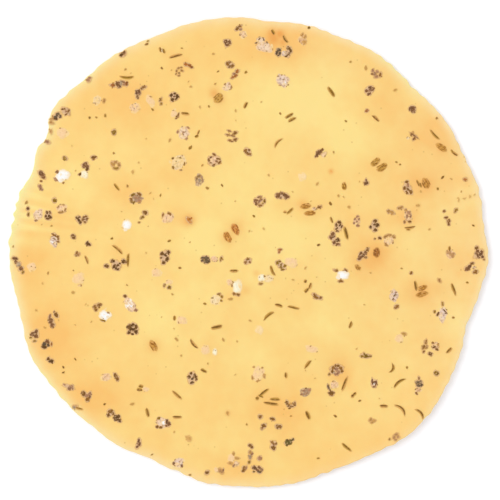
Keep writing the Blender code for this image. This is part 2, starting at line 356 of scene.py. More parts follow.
def paleness(x, y):
    """How pale the dough is, more orange below zero and more yellow above, with painted highlights on
    puckers.
    """
    pale = PALE_IN_THE_MIDDLE - PALE_LOST_OUTWARDS * (np.hypot(x, y) / SHEET_RADIUS) ** 2
    for middle_x, middle_y, half_width, half_height, amount in DOUGH_PATCHES:
        away = ((x / MM - middle_x) / half_width) ** 2 + ((y / MM - middle_y) / half_height) ** 2
        pale += amount * np.exp(-away)
    degrees, inwards = from_the_rim(x, y)
    # A painted highlight along the raised puckers, where they catch the light
    pale += PUCKER_HIGHLIGHT * pucker(degrees, inwards) / PUCKERS[0][2] / MM
    return np.clip(pale, MOST_ORANGE, MOST_PALE)


def oil(x, y):
    """How strongly the oil of the seeds has stained the dough."""
    stain = np.zeros_like(x)
    for middle_x, middle_y, radius, strength in OIL_STAINS:
        away = np.hypot(x / MM - middle_x, y / MM - middle_y) / radius
        stain = np.maximum(stain, strength * np.exp(-(away ** 2)))
    return stain


def on_sides(degrees, sides):
    """How much a point is on some sides of the sheet, each (degrees, width, strength)."""
    most = np.zeros_like(degrees)
    for middle, wide, strength in sides:
        most = np.maximum(most, strength * near_angle(degrees, middle, wide))
    return most


def rim_paleness(x, y):
    """One at the rim, fading inwards, and further in on the sides that dried first."""
    degrees, inwards = from_the_rim(x, y)
    inwards = np.maximum(inwards, 0.0)
    pale = np.exp(-((inwards / RIM_PALES_OVER) ** 1.5)) * (1.0 - on_sides(degrees, MOIST_SIDES))
    return np.maximum(pale, on_sides(degrees, DRY_SIDES) * np.exp(-inwards / DRY_SIDE_OVER))


def thin_rim_light(x, y):
    """One where light through the thinnest rim is painted, fading inwards and along the rim."""
    degrees, inwards = from_the_rim(x, y)
    return on_sides(degrees, THIN_RIM_LIGHT_SIDES) * np.exp(-np.maximum(inwards, 0.0) / THIN_RIM_LIGHT_OVER)


def give_value(mesh, name, values):
    """Keep one number a point in a mesh, for its finish to read."""
    kept = mesh.attributes.new(name, "FLOAT", "POINT")
    kept.data.foreach_set("value", np.asarray(values, dtype=np.float32))


def give_dough_values(mesh, x, y):
    """The values that the dough's colour is worked out from, for any piece in its skin."""
    give_value(mesh, "paleness", paleness(x, y))
    give_value(mesh, "oil", oil(x, y))
    give_value(mesh, "rim", rim_paleness(x, y))
    give_value(mesh, "thin_rim_light", thin_rim_light(x, y))


class Wire:
    """One output of a shader node, so that a finish is written as sums and mixes."""

    def __init__(self, tree, output=None):
        self.tree = tree
        self.output = output

    def node(self, kind, settings, sockets, result=0):
        """Add a node, its settings first and then its sockets, and give one of its outputs."""
        made = self.tree.nodes.new(kind)
        for name, value in settings.items():
            setattr(made, name, value)
        for name, value in sockets.items():
            if isinstance(value, Wire):
                self.tree.links.new(value.output, made.inputs[name])
            else:
                made.inputs[name].default_value = value
        return Wire(self.tree, made.outputs[result])

    def maths(self, operation, first, second):
        """A sum on numbers, as one Math node."""
        return self.node("ShaderNodeMath", {"operation": operation}, {0: first, 1: second})

    def __add__(self, other):
        return self.maths("ADD", self, other)

    def __radd__(self, other):
        return self.maths("ADD", other, self)

    def __sub__(self, other):
        return self.maths("SUBTRACT", self, other)

    def __rsub__(self, other):
        return self.maths("SUBTRACT", other, self)

    def __mul__(self, other):
        return self.maths("MULTIPLY", self, other)

    def __rmul__(self, other):
        return self.maths("MULTIPLY", other, self)

    def rise(self, low, high):
        """Zero below one value, one above the other, and a soft step between."""
        settings = {"interpolation_type": "SMOOTHSTEP"}
        return self.node("ShaderNodeMapRange", settings, {0: self, 1: low, 2: high})

    def mix(self, first, second, amount):
        """From one colour to another."""
        settings = {"data_type": "RGBA"}
        return self.node("ShaderNodeMix", settings, {0: amount, 6: first, 7: second}, 2)

    def value(self, name, result="Fac"):
        """A number, or with "Color" a colour, that the mesh keeps for its finish."""
        return self.node("ShaderNodeAttribute", {"attribute_name": name}, {}, result)

    def place(self):
        """Where a point is on the papadum, in metres."""
        return self.node("ShaderNodeTexCoord", {}, {}, "Object")

    def noise(self, place, size, detail):
        """Cloudy noise between 0 and 1, with clouds of a size."""
        sockets = {"Vector": place, "Scale": 1.0 / size, "Detail": detail}
        return self.node("ShaderNodeTexNoise", {}, sockets)

    def cells(self, place, size):
        """Distance to the middle of the nearest of many random cells of a size."""
        sockets = {"Vector": place, "Scale": 1.0 / size}
        return self.node("ShaderNodeTexVoronoi", {}, sockets, "Distance")

    def bump(self, distance):
        """Low relief, with this as its height between 0 and 1, over a distance."""
        return self.node("ShaderNodeBump", {}, {"Height": self, "Distance": distance})

    def into(self, surface, socket):
        """Lead this into a socket of the surface shader."""
        self.tree.links.new(self.output, surface.inputs[socket])


def new_finish(name, roughness, gloss):
    """A material, its surface shader with what is the same all over, and a first wire."""
    material = bpy.data.materials.new(name)
    material.use_nodes = True
    tree = material.node_tree
    surface = tree.nodes["Principled BSDF"]
    surface.inputs["Roughness"].default_value = roughness
    surface.inputs["Specular IOR Level"].default_value = gloss
    return material, surface, Wire(tree)


def dough_colour(start, place):
    """The dough's mottled colour, with painted light on thin rim and puckers, the same in each piece showing
    it.
    """
    clouds = start.noise(place, CLOUD_SIZE, detail=3.0)
    blotches = start.noise(place, BLOTCH_SIZE, detail=3.0)
    pale = 0.5 + PATCH_STRENGTH * start.value("paleness")
    pale = pale + CLOUD_STRENGTH * (clouds - 0.5) + BLOTCH_STRENGTH * (blotches - 0.5)
    colour = start.mix(by_eye(DOUGH_ORANGE), by_eye(DOUGH_PALE), pale)
    rim = start.value("rim") * (RIM_STRENGTH + RIM_BLOTCHES * (blotches - 0.25))
    colour = start.mix(colour, by_eye(DOUGH_RIM), rim)
    # Painted light where the thinnest rim lets light through
    colour = start.mix(colour, by_eye(DOUGH_THIN_RIM_LIGHT), start.value("thin_rim_light"))
    colour = start.mix(colour, by_eye(DOUGH_STAIN), STAIN_STRENGTH * start.value("oil"))
    chosen = start.noise(place, FLECK_FIELD, detail=0.0).rise(*FLECK_FIELD_EDGE)
    flecks = (1.0 - start.cells(place, FLECK_GAP).rise(*FLECK_EDGE)) * chosen
    return start.mix(colour, by_eye(DOUGH_FLECK), FLECK_STRENGTH * flecks)


def dough_finish():
    """The dough: mottled, a little uneven in its sheen, and light soaks into it."""
    material, surface, start = new_finish("lentil_dough", DOUGH_ROUGHNESS, DOUGH_GLOSS)
    place = start.place()
    dough_colour(start, place).into(surface, "Base Color")
    sheen = start.noise(place, SHEEN_PATCH, detail=2.0)
    rough = DOUGH_ROUGHNESS + SHEEN_CHANGE * (sheen - 0.5)
    rough.into(surface, "Roughness")
    surface.inputs["Subsurface Weight"].default_value = SOAKED_LIGHT
    surface.inputs["Subsurface Radius"].default_value = SOAKED_COLOURS
    surface.inputs["Subsurface Scale"].default_value = SOAKED_DEPTH
    grain = start.noise(place, GRAIN_SIZE, detail=3.0)
    relief = start.noise(place, RELIEF_SIZE, detail=2.0) + GRAIN_STRENGTH * grain
    relief.bump(RELIEF_DEPTH).into(surface, "Normal")
    return material


def in_scene(name, data):
    """A new object in the scene, made of a mesh, a light or a camera."""
    made = bpy.data.objects.new(name, data)
    bpy.context.scene.collection.objects.link(made)
    return made


def body_piece(name, points, faces, finish):
    """One mesh of the papadum, smooth, riding on the papadum's body."""
    mesh = bpy.data.meshes.new(name)
    mesh.from_pydata(points.tolist(), [], faces)
    mesh.materials.append(finish)
    mesh.shade_smooth()
    piece = in_scene(name, mesh)
    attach(piece, "root")
    return piece


sheet_points, sheet_faces = rolled_sheet()
dough = body_piece("dough_sheet", sheet_points, sheet_faces, dough_finish())
give_dough_values(dough.data, sheet_points[:, 0], sheet_points[:, 1])
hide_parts("papadum")


# Pale kernels of cracked peppercorns
# The mealy inside of a peppercorn, from chalk white to a pinkish ghost where the dough's
# skin covers it. The rolling pin has flattened each one, often with husk round its rim.

# (x, y, length, width, turn, shade), lengths in millimetres
KERNELS = (
    (-70.4, 28.9, 6.2, 5.2, 20, "white"), (-46.1, 10.2, 4.8, 3.4, 80, "white"),
    (-54.3, -24, 4.8, 4.6, 0, "white"), (-44.8, -19.9, 6.8, 4, -52, "rose"),
    (-45, -19.7, 4.6, 3.6, -55, "white"), (-4.2, -13.1, 5.2, 4.4, 95, "chalk"),
    (-7, -11.5, 2.6, 2.2, 0, "pink"), (7.6, -10.1, 3.8, 3, 0, "cream"),
    (5, -9.8, 3.2, 2.8, 0, "chalk"), (35.5, -8.8, 5, 4.4, 0, "white"),
    (55, -16.5, 5.4, 3.6, 90, "lilac"), (-32.6, -64.5, 5, 4.4, 0, "rose"),
    (-32.1, -64.4, 3, 1.9, 90, "white"), (-53.8, -47.3, 4, 3, 0, "pink"),
    (12.8, 65, 6.6, 4.4, -40, "lilac"), (13.6, 63.9, 2.2, 1.5, 0, "white"),
    (-12.4, -18, 4.4, 4, 0, "cream"), (-16.3, -37, 3.6, 3.4, 0, "ghost"),
    (-12.7, -37.8, 3, 1.8, 80, "chalk"), (3.6, -46.1, 6, 4.8, 85, "ghost"),
    (4.5, -44.8, 2.2, 0.8, -30, "cream"), (5.8, 77.6, 7, 4.2, -12, "rose"),
    (4.6, 80, 3.6, 2.6, 0, "rose"), (21.4, -52.9, 5, 3.8, 20, "ash"),
    (20.5, 80, 4.2, 3.4, -70, "tan"), (-43, 54.5, 4.2, 3.6, 0, "pink"),
    (-37.2, 57.3, 4.4, 2.6, -65, "ghost"), (-24.5, 45, 5.4, 4.4, 90, "rose"),
    (-26.5, 34, 6.6, 5.6, 10, "veiled"), (-79.5, 14, 4.6, 3.8, 80, "rose"),
    (-13.2, 34.7, 4, 3.2, 0, "pink"),
    (-18.6, 27.3, 5.2, 3.8, 80, "ash"), (-42.2, 20.4, 4.8, 3.4, -10, "ash"),
    (-70.5, 16.5, 4.2, 3.6, 0, "pink"), (-73.6, 4.2, 4.8, 3.6, -70, "lilac"),
    (-74.2, 3.7, 2, 1.3, -45, "white"), (-82, -5.5, 3.8, 3.4, -20, "ghost"),
    (-64.2, -10, 5.4, 4, 80, "ghost"), (-30.5, 13, 4.6, 4.4, 0, "pink"),
    (-30.2, -11.5, 2.6, 2.2, 0, "ghost"), (24, -36.7, 5, 2.6, -8, "ghost"),
    (53, 4.5, 4, 4, 0, "pink"), (57, -32.8, 4, 3, 0, "ghost"), (76.2, -0.8, 3.8, 3.6, 0, "tan"),
    (73.3, -23.5, 6, 3.6, 80, "lilac"), (60.4, 13.8, 4.6, 3.6, 85, "tan"),
    (70.5, -35.5, 3.8, 3, 50, "tan"), (32.3, -50.3, 3, 3, 0, "pink"),
    (-6.5, -77.8, 3, 3, 0, "ghost"), (-4.6, -79.9, 2.2, 2.2, 0, "pink"),
    (-12.1, -82.1, 2.2, 1.6, 90, "ghost"), (-26.5, -79.5, 4.8, 3.4, 0, "lilac"),
    (-62.1, 29.3, 3.6, 3.2, 20, "chalk"), (47.5, -49.5, 2.2, 0.9, 90, "white"),
    (-2, 82.2, 3.2, 2.6, -30, "pink"), (13.5, 75, 2.6, 2.4, 0, "lilac"),
    (-57.2, 57.4, 3.8, 3, 30, "veiled"), (-28.2, 52.3, 3, 2.6, 90, "ghost"),
    (-8, 62.5, 3.6, 3.4, 0, "rose"), (4, -29.5, 3.6, 3, 90, "floury"),
    (41, 11.6, 4, 3, 75, "tan"), (-70.5, 45, 4.5, 4, 0, "ghost"), (16.2, -4, 5.4, 3.8, 0, "ghost"),
    (20.3, 28.5, 3.4, 3, 0, "floury"), (-39, -52, 2.2, 1.8, 0, "ghost"),
    (-34.8, -7.8, 3.6, 3.2, 0, "ghost"), (-25.2, -25.8, 3.8, 3.2, 0, "ghost"),
    (60.3, 43, 1.6, 1.2, 0, "cream"), (64, -52, 2.6, 1.8, 0, "tan"), (85, -5.8, 1.6, 1.1, 0, "rose"),
    (28.5, 37, 3, 1.8, 45, "pink"), (24.8, 16.3, 2.4, 1.4, 0, "pink"),
    (-32.7, 76.1, 1.4, 0.5, 105, "cream"), (-63.9, -12.6, 1.6, 0.7, 0, "pink"),
    (-26.8, -80, 3.6, 2, 0, "ghost"), (-44.4, -19.9, 3.2, 2.4, -50, "white"),
    (-12.8, -2.6, 2.8, 2.4, 0, "pink"),
)
KERNEL_HEIGHT = 0.24 * MM
# How much wider than a kernel the flour round it lies, in millimetres
FLOUR_ROUND_IT = 0.9
# Each shade: its colour in the middle and round it, how much of it shows bare, how
# speckled it is, and how many bits of tan husk and of grey skin lie on it
KERNEL_SHADES = {
    "white": ((255, 254, 250), (254, 240, 214), 0.95, 0.10, 1, 0),
    "chalk": ((255, 247, 216), (254, 234, 188), 0.90, 0.20, 1, 1),
    "cream": ((254, 228, 180), (252, 222, 166), 0.80, 0.35, 2, 2),
    "floury": ((255, 225, 172), (254, 220, 164), 0.65, 0.0, 0, 0),
    "ghost": ((252, 212, 162), (251, 209, 154), 0.72, 0.16, 2, 0),
    "veiled": ((246, 210, 146), (244, 212, 166), 0.60, 0.60, 3, 2),
    "pink": ((247, 205, 162), (243, 196, 148), 0.80, 0.50, 4, 2),
    "rose": ((246, 214, 182), (241, 200, 160), 0.85, 0.55, 4, 4),
    "tan": ((230, 182, 138), (238, 190, 138), 0.80, 0.60, 3, 4),
    "lilac": ((234, 206, 188), (238, 202, 170), 0.90, 0.70, 2, 5),
    "ash": ((178, 144, 114), (196, 156, 118), 0.90, 0.60, 1, 5),
}
PATCHES_ON_KERNEL = 5
# How unevenly the dough's skin lies over a kernel
KERNEL_PATCHINESS = 1.1
# The grain of a kernel, and its shades: (shade, strength, from, to) where the grain is
# high and where it is low
KERNEL_GRAIN = 0.8 * MM
KERNEL_SPECKLE = ((160, 128, 94), 0.6, 0.50, 0.62)
KERNEL_MEAL = ((255, 236, 198), 0.6, 0.36, 0.48)
HUSK_BIT = (188, 140, 84)
SKIN_BIT = (156, 124, 90)
# The dough's skin over the foot of a lump: over a dark one, and over a pale one
STEEPED_DOUGH = (214, 160, 90)
FLOURY_DOUGH = (253, 219, 160)
# The ragged edge of that skin, and the size of its patches on a kernel
SKIN_RAGS = 0.7 * MM
SKIN_RAGGEDNESS = 0.30
SKIN_PATCH = 1.6 * MM
# How bare a lump is, from and to, where it tints the skin over it and where it shows itself,
# and how strong that tint is
TINTED_SKIN = (0.0, 0.4)
BARE_LUMP = (0.10, 0.85)
TINT_STRENGTH = 0.8
# How high the dough's skin swells over a lump
SKIN_SWELL = 0.06 * MM
# A lump's rings from its foot in the dough to near its top, and its one top point: (height as
# a share, spread as a share, how bare), and how far its foot runs out in millimetres
LUMP_RINGS = (
    (-0.8, 1.0, 0.0), (0.0, 1.0, 0.0), (0.45, 0.93, 0.42), (0.82, 0.76, 0.9), (0.97, 0.48, 1.0),
)
LUMP_TOP = (1.0, 0.0, 1.0)
LUMP_FOOT = 0.20
# How high a ring lies, as a share, when it is bumpy, and how wide when it has the rim's colour
BUMPY_FROM = 0.3
RIM_COLOUR_FROM = 0.6
# A lump's ragged outline: how many waves each of its swells has, and how deep its nicks are as
# a share of how ragged it is
SWELL_WAVES = (2, 3, 4)
NICK_DEPTH = 0.3
# How far a lump stays from the sheet's rim, in millimetres
RIM_LEFT_BARE = 0.3


def kept_on_sheet(x, y, reach):
    """A place in millimetres, moved inwards where a lump there would hang over the rim."""
    inwards = from_the_rim(x * MM, y * MM)[1] / MM
    nearer = 1.0 - max(0.0, reach + RIM_LEFT_BARE - inwards) / max(1.0, math.hypot(x, y))
    return x * nearer, y * nearer


class Handful:
    """Small lumps of one kind, gathered into one mesh with the values its finish reads."""

    def __init__(self, seed):
        self.rng = np.random.default_rng(seed)
        self.xs = []
        self.ys = []
        self.rises = []
        self.faces = []
        self.colours = []
        self.values = {"bare": [], "speckle": []}
        self.total = 0

    def outline(self, sides, ragged):
        """Angles round a lump and its reach at each: a few swells, and small nicks."""
        angles = math.tau * np.arange(sides) / sides
        reach = 1.0 + NICK_DEPTH * ragged * self.rng.uniform(-1.0, 1.0, sides)
        for waves in SWELL_WAVES:
            swell = ragged * self.rng.uniform(0.3, 1.0) / waves
            reach += swell * np.cos(waves * angles + self.rng.uniform(0.0, math.tau))
        return angles, reach

    def lump(self, x, y, length, width, turn, height, colour, rim_colour=None, sides=12,
             ragged=0.2, bend=0.0, point=1.0, bare=1.0, speckle=0.0, bumpy=0.12):
        """One low lump in the dough's skin: lengths in millimetres, the turn in degrees."""
        x, y = kept_on_sheet(x, y, (length + width) / 4.0)
        angles, reach = self.outline(sides, ragged)
        along = length / 2.0 * reach * np.cos(angles)
        across = width / 2.0 * reach * np.sign(np.sin(angles)) * np.abs(np.sin(angles)) ** point
        turn = math.radians(turn)
        start = self.total
        for rise, spread, bareness in (*LUMP_RINGS, LUMP_TOP):
            count = sides if spread > 0.0 else 1
            foot = LUMP_FOOT * (bareness == 0.0)
            far = along[:count] * spread + foot * np.cos(angles[:count])
            wide = across[:count] * spread + foot * np.sin(angles[:count])
            bent = wide + bend * length * (far / (length / 2.0)) ** 2
            self.xs.append((x + far * math.cos(turn) - bent * math.sin(turn)) * MM)
            self.ys.append((y + far * math.sin(turn) + bent * math.cos(turn)) * MM)
            uneven = 1.0 + self.rng.uniform(-bumpy, bumpy, count) * (rise > BUMPY_FROM)
            self.rises.append(height * rise * uneven)
            tint = colour if rim_colour is None or spread < RIM_COLOUR_FROM else rim_colour
            self.colours.append(np.tile(tint, (count, 1)))
            self.values["bare"].append(np.full(count, bare * bareness))
            self.values["speckle"].append(np.full(count, speckle))
            self.total += count
        self.faces.append(tuple(range(start + sides - 1, start - 1, -1)))
        for ring in range(len(LUMP_RINGS) - 1):
            low = start + ring * sides
            self.faces.extend(faces_between(low + sides, sides, low, sides))
        last = start + (len(LUMP_RINGS) - 1) * sides
        self.faces.extend(faces_between(last + sides, 1, last, sides))

    def into_piece(self, name, finish):
        """Join the lumps into one mesh that follows the top of the sheet."""
        x = np.concatenate(self.xs)
        y = np.concatenate(self.ys)
        z = top_of_sheet(x, y) + np.concatenate(self.rises)
        piece = body_piece(name, np.column_stack((x, y, z)), self.faces, finish)
        give_dough_values(piece.data, x, y)
        for value_name, values in self.values.items():
            give_value(piece.data, value_name, np.concatenate(values))
        paint = piece.data.attributes.new("paint", "FLOAT_COLOR", "POINT")
        paint.data.foreach_set("color", np.concatenate(self.colours).astype(np.float32).ravel())
        return piece


def swell_sheet(places, beyond):
    """Lift the dough's skin over each lump (x, y, length), and some millimetres beyond it."""
    mesh = dough.data
    points = np.empty(len(mesh.vertices) * 3, dtype=np.float32)
    mesh.vertices.foreach_get("co", points)
    points = points.reshape(-1, 3)
    on_top = points[:, 2] > underside(points[:, 0], points[:, 1]) + SHEET_THICKNESS / 2.0
    lift = np.zeros(len(points))
    for x, y, length in places:
        near = np.flatnonzero(np.abs(points[:, 0] / MM - x) < length + beyond)
        away = np.hypot(points[near, 0] / MM - x, points[near, 1] / MM - y)
        lift[near] = np.maximum(lift[near], np.exp(-((away / (length / 2.0 + beyond)) ** 4)))
    points[:, 2] += SKIN_SWELL * lift * on_top
    mesh.vertices.foreach_set("co", points.ravel())
    mesh.update()


def mottled(start, grain, high_shade, low_shade, speckled=1.0):
    """A lump's paint, with other shades where its grain is high and where it is low."""
    shade, strength, low, high = high_shade
    paint = start.value("paint", "Color")
    own = start.mix(paint, by_eye(shade), strength * speckled * grain.rise(low, high))
    shade, strength, low, high = low_shade
    return start.mix(own, by_eye(shade), strength * speckled * (1.0 - grain.rise(low, high)))


def half_buried(start, place, own, skin_over_it, patchy=0.0):
    """A lump's own colour where it is bare, and the dough's through its skin at the foot."""
    rags = start.noise(place, SKIN_RAGS, detail=2.0)
    bare = start.value("bare") + SKIN_RAGGEDNESS * (rags - 0.5)
    if patchy:
        bare = bare + patchy * (start.noise(place, SKIN_PATCH, detail=1.0) - 0.5)
    tint = TINT_STRENGTH * bare.rise(*TINTED_SKIN)
    skin = start.mix(dough_colour(start, place), by_eye(skin_over_it), tint)
    return start.mix(skin, own, bare.rise(*BARE_LUMP))


def kernel_finish():
    """Dull meal, speckled as much as each kernel is, under a patchy skin of dough."""
    material, surface, start = new_finish("mealy_kernel", roughness=0.8, gloss=0.2)
    place = start.place()
    grain = start.noise(place, KERNEL_GRAIN, detail=2.0)
    own = mottled(start, grain, KERNEL_SPECKLE, KERNEL_MEAL, start.value("speckle"))
    colour = half_buried(start, place, own, FLOURY_DOUGH, patchy=KERNEL_PATCHINESS)
    colour.into(surface, "Base Color")
    grain.bump(0.08 * MM).into(surface, "Normal")
    return material


def beside(x, y, along, across, turn):
    """A place along and across a lump that lies at a turn in degrees, from its middle."""
    cosine = math.cos(math.radians(turn))
    sine = math.sin(math.radians(turn))
    return x + along * cosine - across * sine, y + along * sine + across * cosine


def roll_in_kernel(x, y, length, width, turn, shade):
    """One kernel with flour round it, uneven patches, and bits of husk and grey skin."""
    middle, round_it, bare, speckle, husk_bits, skin_bits = KERNEL_SHADES[shade]
    rng = kernels.rng
    kernels.lump(x, y, length + FLOUR_ROUND_IT, width + FLOUR_ROUND_IT, turn,
                 0.3 * KERNEL_HEIGHT, by_eye(FLOURY_DOUGH), sides=18, ragged=0.25,
                 bare=0.6 * bare)
    kernels.lump(x, y, length, width, turn, 0.8 * KERNEL_HEIGHT, by_eye(middle),
                 by_eye(round_it), sides=22, ragged=0.3, bare=bare, speckle=speckle)

    def bit_at(share, size, slim, height, colour, bit_bare):
        """A bit at a share of the way to the kernel's rim, lying round its middle."""
        angle = rng.uniform(0.0, math.tau)
        along = share * length / 2.0 * math.cos(angle)
        across = share * width / 2.0 * math.sin(angle)
        kernels.lump(*beside(x, y, along, across, turn), size, slim * size,
                     turn + math.degrees(angle) + 90 + rng.uniform(-30, 30),
                     height * KERNEL_HEIGHT, by_eye(colour), sides=9, ragged=0.3,
                     bare=bit_bare, speckle=speckle)

    for patch in range(PATCHES_ON_KERNEL):
        bit_at(rng.uniform(0.2, 0.7), width * rng.uniform(0.3, 0.5), 0.7, 0.95,
               round_it if patch % 2 else middle, bare * rng.uniform(0.5, 1.0))
    for bit in range(husk_bits):
        bit_at(rng.uniform(0.75, 1.0), rng.uniform(0.5, 1.1), 0.5, 1.0, HUSK_BIT,
               rng.uniform(0.45, 0.85))
    for bit in range(skin_bits):
        bit_at(rng.uniform(0.2, 0.85), rng.uniform(0.35, 0.8), 0.6, 1.15, SKIN_BIT,
               rng.uniform(0.4, 0.85))


kernels = Handful(11)
for x, y, length, width, turn, shade in KERNELS:
    roll_in_kernel(x, y, length, width, turn, shade)
kernels.into_piece("pepper_kernels", kernel_finish())
swell_sheet([place[:3] for place in KERNELS], 0.8)


# Dark husk of cracked peppercorns
# The wrinkled skin of the pepper, brown to blue-black, broken into chips that the rolling
# pin has spread over a little of the mealy inside.

# Colours of the husk
HUSK_TONES = {
    "black": (114, 81, 45), "brown": (144, 101, 51), "rust": (174, 108, 54), "plum": (132, 92, 60),
    "slate": (111, 92, 68), "olive": (150, 115, 42), "tan": (194, 146, 82), "mauve": (172, 127, 94),
    "grey": (182, 156, 124), "moss": (106, 93, 50), "amber": (186, 118, 50),
}
